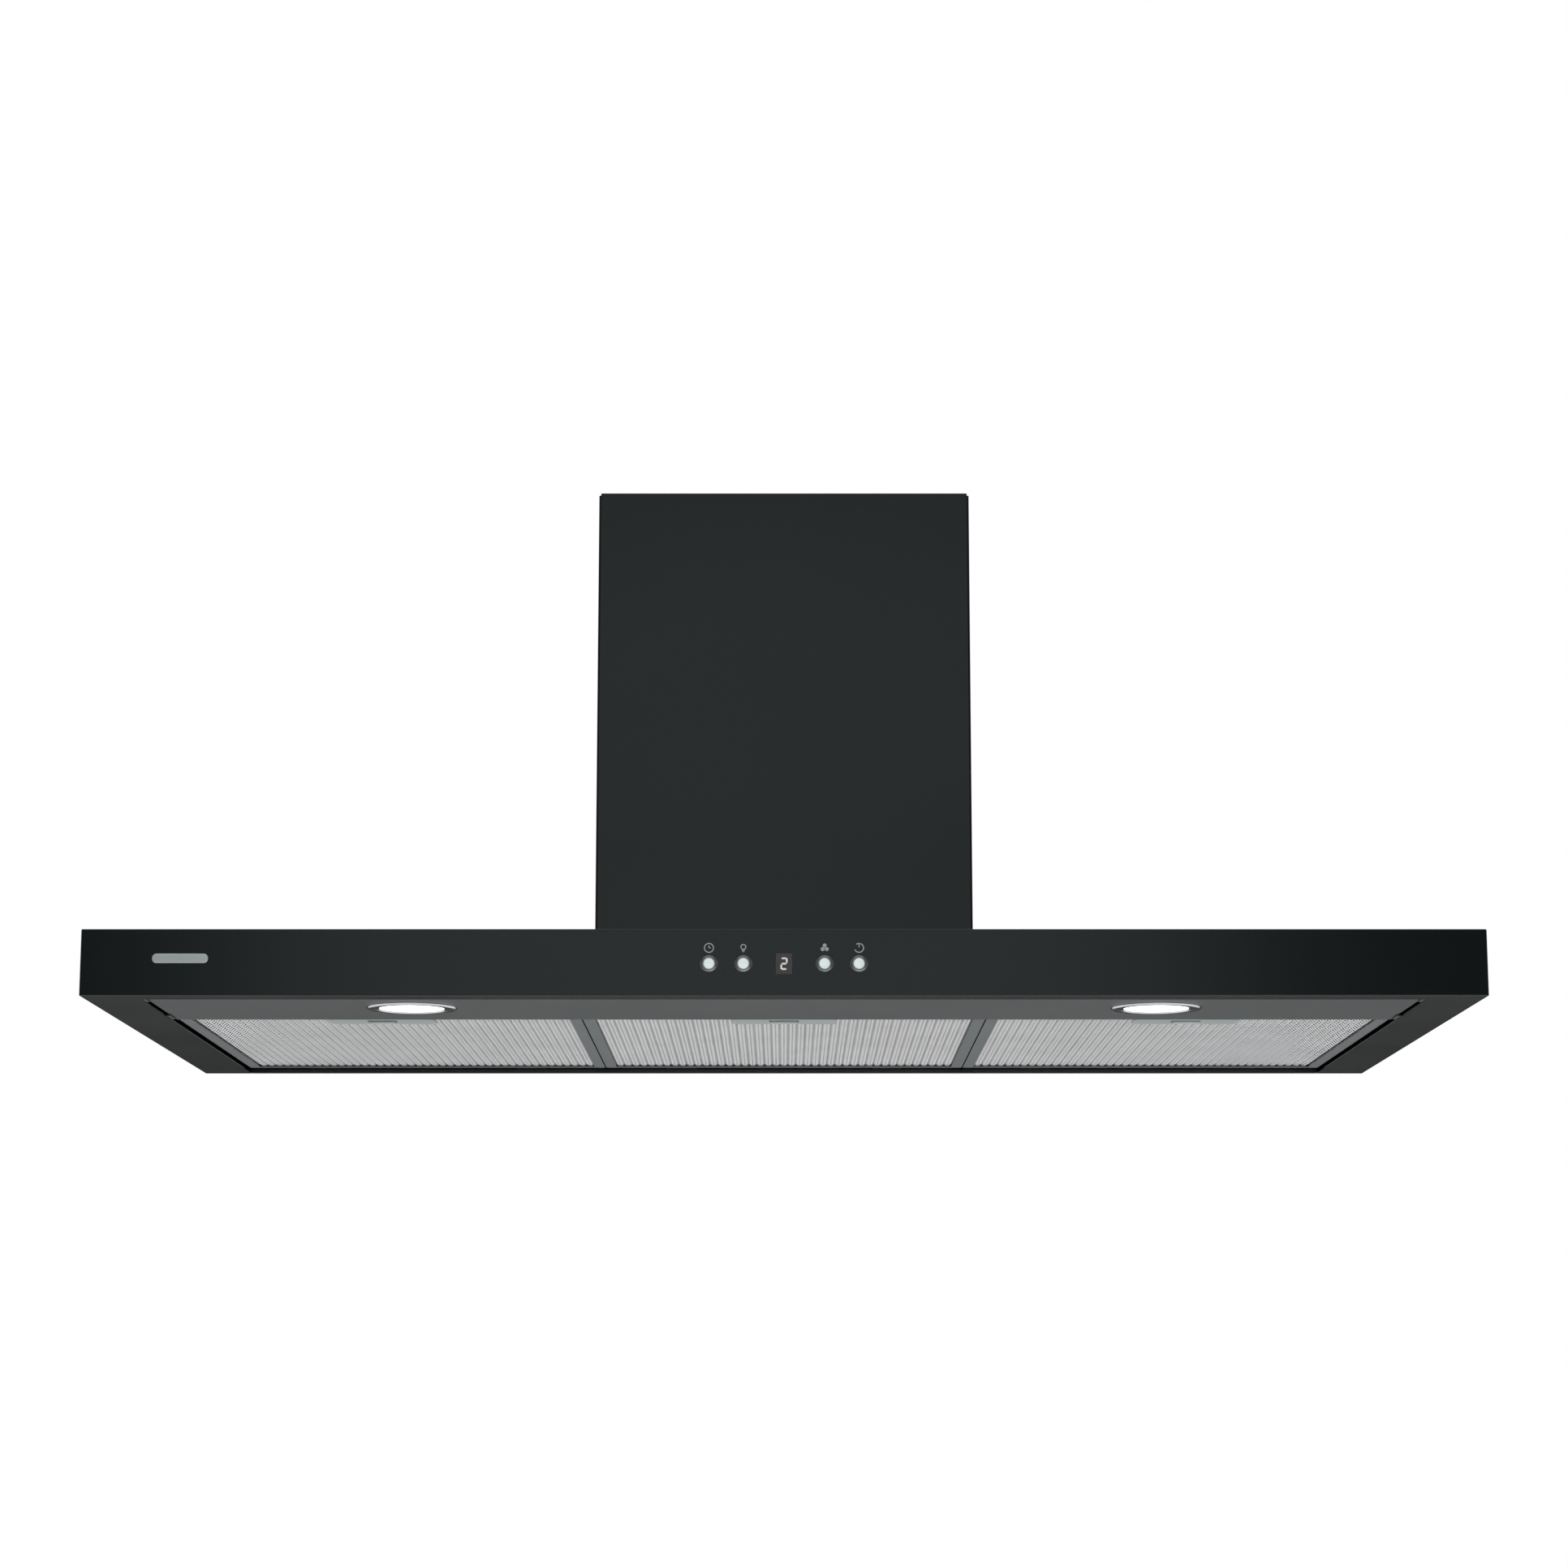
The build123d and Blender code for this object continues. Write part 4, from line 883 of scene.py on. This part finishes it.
class HOOD_OT_set_stage(bpy.types.Operator):
    """Set the floor, the studio light and the camera"""

    bl_idname = "hood.set_stage"
    bl_label = "Set Stage"

    def floor(self, drop):
        """A pale disc, clear from below. Its far part looks white, and is dark in reflections."""
        clear_selection()
        bpy.ops.mesh.primitive_circle_add(vertices=96, radius=8.0, fill_type="NGON", location=(0, 0, -drop))
        obj = begin("studio_floor")
        settle(obj)
        material, nodes, shader = new_material("studio floor")
        grain = effect(nodes, "grain", **{"Broad Scale": 1.5, "Fine Scale": 60.0})
        nodes.link(nodes.blend(grain.outputs["Mottle"], (0.8, 0.8, 0.8), (0.83, 0.83, 0.83)),
                   shader.inputs["Base Color"])
        shader.inputs["Roughness"].default_value = 0.8
        shader.inputs["Emission Color"].default_value = (1, 1, 1, 1)
        shader.inputs["Emission Strength"].default_value = 0.5
        place = nodes.add("ShaderNodeTexCoord")
        reach = nodes.add("ShaderNodeVectorMath", operation="LENGTH")
        nodes.link(place.outputs["Object"], reach.inputs[0])
        seen = nodes.add("ShaderNodeLightPath")
        far = nodes.add("ShaderNodeMapRange", interpolation_type="SMOOTHSTEP")
        nodes.link(reach.outputs["Value"], far.inputs["Value"])
        for title, start, nearer in (("From Min", 2.2, 1.4), ("From Max", 4.5, 2.5)):
            shift = nodes.math("MULTIPLY", seen.outputs["Is Camera Ray"], nearer)
            nodes.link(nodes.math("SUBTRACT", start, shift), far.inputs[title])
        dark = nodes.add("ShaderNodeEmission")
        dark.inputs["Strength"].default_value = 0.03
        white = nodes.add("ShaderNodeEmission")
        beyond = nodes.add("ShaderNodeMixShader")
        nodes.link(seen.outputs["Is Camera Ray"], beyond.inputs["Fac"])
        nodes.link(dark.outputs[0], beyond.inputs[1])
        nodes.link(white.outputs[0], beyond.inputs[2])
        fade = nodes.add("ShaderNodeMixShader")
        nodes.link(far.outputs["Result"], fade.inputs["Fac"])
        nodes.link(shader.outputs[0], fade.inputs[1])
        nodes.link(beyond.outputs[0], fade.inputs[2])
        clear = nodes.add("ShaderNodeBsdfTransparent")
        side = nodes.add("ShaderNodeNewGeometry")
        mix = nodes.add("ShaderNodeMixShader")
        nodes.link(side.outputs["Backfacing"], mix.inputs["Fac"])
        nodes.link(fade.outputs[0], mix.inputs[1])
        nodes.link(clear.outputs[0], mix.inputs[2])
        nodes.link(mix.outputs[0], material.node_tree.nodes["Material Output"].inputs["Surface"])
        dress(obj, material)

    def light(self, name, place, aim, size, power, shade=(1, 1, 1)):
        data = bpy.data.lights.new(name, "AREA")
        data.shape = "RECTANGLE"
        data.size, data.size_y = size
        data.energy = power
        data.color = shade
        obj = bpy.data.objects.new(name, data)
        bpy.context.scene.collection.objects.link(obj)
        obj.location = place
        obj.rotation_euler = (Vector(aim) - Vector(place)).to_track_quat("-Z", "Y").to_euler()
        obj.visible_camera = False

    def world(self):
        """White to the camera; to everything else dim, a little brighter behind and soft white above."""
        world = bpy.data.worlds.new("studio")
        bpy.context.scene.world = world
        world.use_nodes = True
        nodes = Nodes(world.node_tree)
        background = world.node_tree.nodes["Background"]
        place = nodes.add("ShaderNodeTexCoord")
        split = nodes.add("ShaderNodeSeparateXYZ")
        nodes.link(place.outputs["Generated"], split.inputs[0])
        terms = []
        for axis, start, end, low, high in (("Y", -0.35, 0.35, 0.02, 0.03), ("Z", 0.25, 0.9, 0.0, 0.3)):
            ramp = nodes.add("ShaderNodeMapRange", interpolation_type="SMOOTHSTEP")
            for title, value in (("From Min", start), ("From Max", end), ("To Min", low), ("To Max", high)):
                ramp.inputs[title].default_value = value
            nodes.link(split.outputs[axis], ramp.inputs["Value"])
            terms.append(ramp.outputs["Result"])
        seen = nodes.add("ShaderNodeLightPath")
        value = nodes.add("ShaderNodeMix")
        nodes.link(seen.outputs["Is Camera Ray"], value.inputs[0])
        nodes.link(nodes.math("ADD", *terms), value.inputs[2])
        value.inputs[3].default_value = 1.0
        nodes.link(value.outputs[0], background.inputs["Strength"])
        background.inputs["Color"].default_value = (1, 1, 1, 1)

    def execute(self, context):
        stage = context.scene.hood_stage
        self.floor(stage.floor_drop)
        self.world()
        cool = (0.91, 1, 0.99)
        self.light("key", (-0.12, -5.0, 0.8), (-0.12, -0.5, 0.8), (1.9, 2.2), stage.key_power, cool)
        self.light("top", (0.0, -1.0, 3.5), (0, -1.0, 0), (5.0, 4.0), stage.top_power)
        self.light("under", (0.6, -2.2, -0.9), (0.15, -0.2, 0.0), (1.8, 0.5), stage.under_power)
        for name, place in SIDE_LIGHTS.items():
            self.light(name, place, (0, -0.25, 0.3), (3.0, 2.0), stage.side_power)
        data = bpy.data.cameras.new("camera")
        camera = bpy.data.objects.new("camera", data)
        context.scene.collection.objects.link(camera)
        camera.location = (0.0, -stage.away, -stage.below)
        camera.rotation_euler = (math.pi / 2 + stage.pitch, 0, 0)
        data.lens = stage.lens
        data.sensor_width = 36.0
        data.clip_end = 100.0
        context.scene.camera = camera
        context.scene.view_settings.view_transform = "Standard"
        return {"FINISHED"}


class HOOD_PT_panel(bpy.types.Panel):
    """The hood's tools in the sidebar."""

    bl_label = "Range Hood"
    bl_idname = "HOOD_PT_panel"
    bl_space_type = "VIEW_3D"
    bl_region_type = "UI"
    bl_category = "Range Hood"

    def draw(self, context):
        layout = self.layout
        for group in (context.scene.hood_finish, context.scene.hood_mesh, context.scene.hood_stage):
            box = layout.box()
            for name in group.__annotations__:
                box.prop(group, name)
        for step in STEPS:
            layout.operator(step.bl_idname)


STEPS = (
    HOOD_OT_finish_casing,
    HOOD_OT_finish_frame,
    HOOD_OT_finish_blower,
    HOOD_OT_weave_filters,
    HOOD_OT_wind_latch_springs,
    HOOD_OT_turn_lamps,
    HOOD_OT_turn_buttons,
    HOOD_OT_light_display,
    HOOD_OT_print_icons,
    HOOD_OT_set_stage,
)
SETTINGS = {"hood_finish": FinishSettings, "hood_mesh": MeshSettings, "hood_stage": StageSettings}


def register():
    for group in SETTINGS.values():
        bpy.utils.register_class(group)
    for name, group in SETTINGS.items():
        setattr(bpy.types.Scene, name, PointerProperty(type=group))
    for step in STEPS:
        bpy.utils.register_class(step)
    bpy.utils.register_class(HOOD_PT_panel)


def unregister():
    bpy.utils.unregister_class(HOOD_PT_panel)
    for step in reversed(STEPS):
        bpy.utils.unregister_class(step)
    for name in SETTINGS:
        delattr(bpy.types.Scene, name)
    for group in reversed(SETTINGS.values()):
        bpy.utils.unregister_class(group)


def main():
    register()
    for step in STEPS:
        area, name = step.bl_idname.split(".")
        getattr(getattr(bpy.ops, area), name)()


if __name__ == "__main__":
    main()
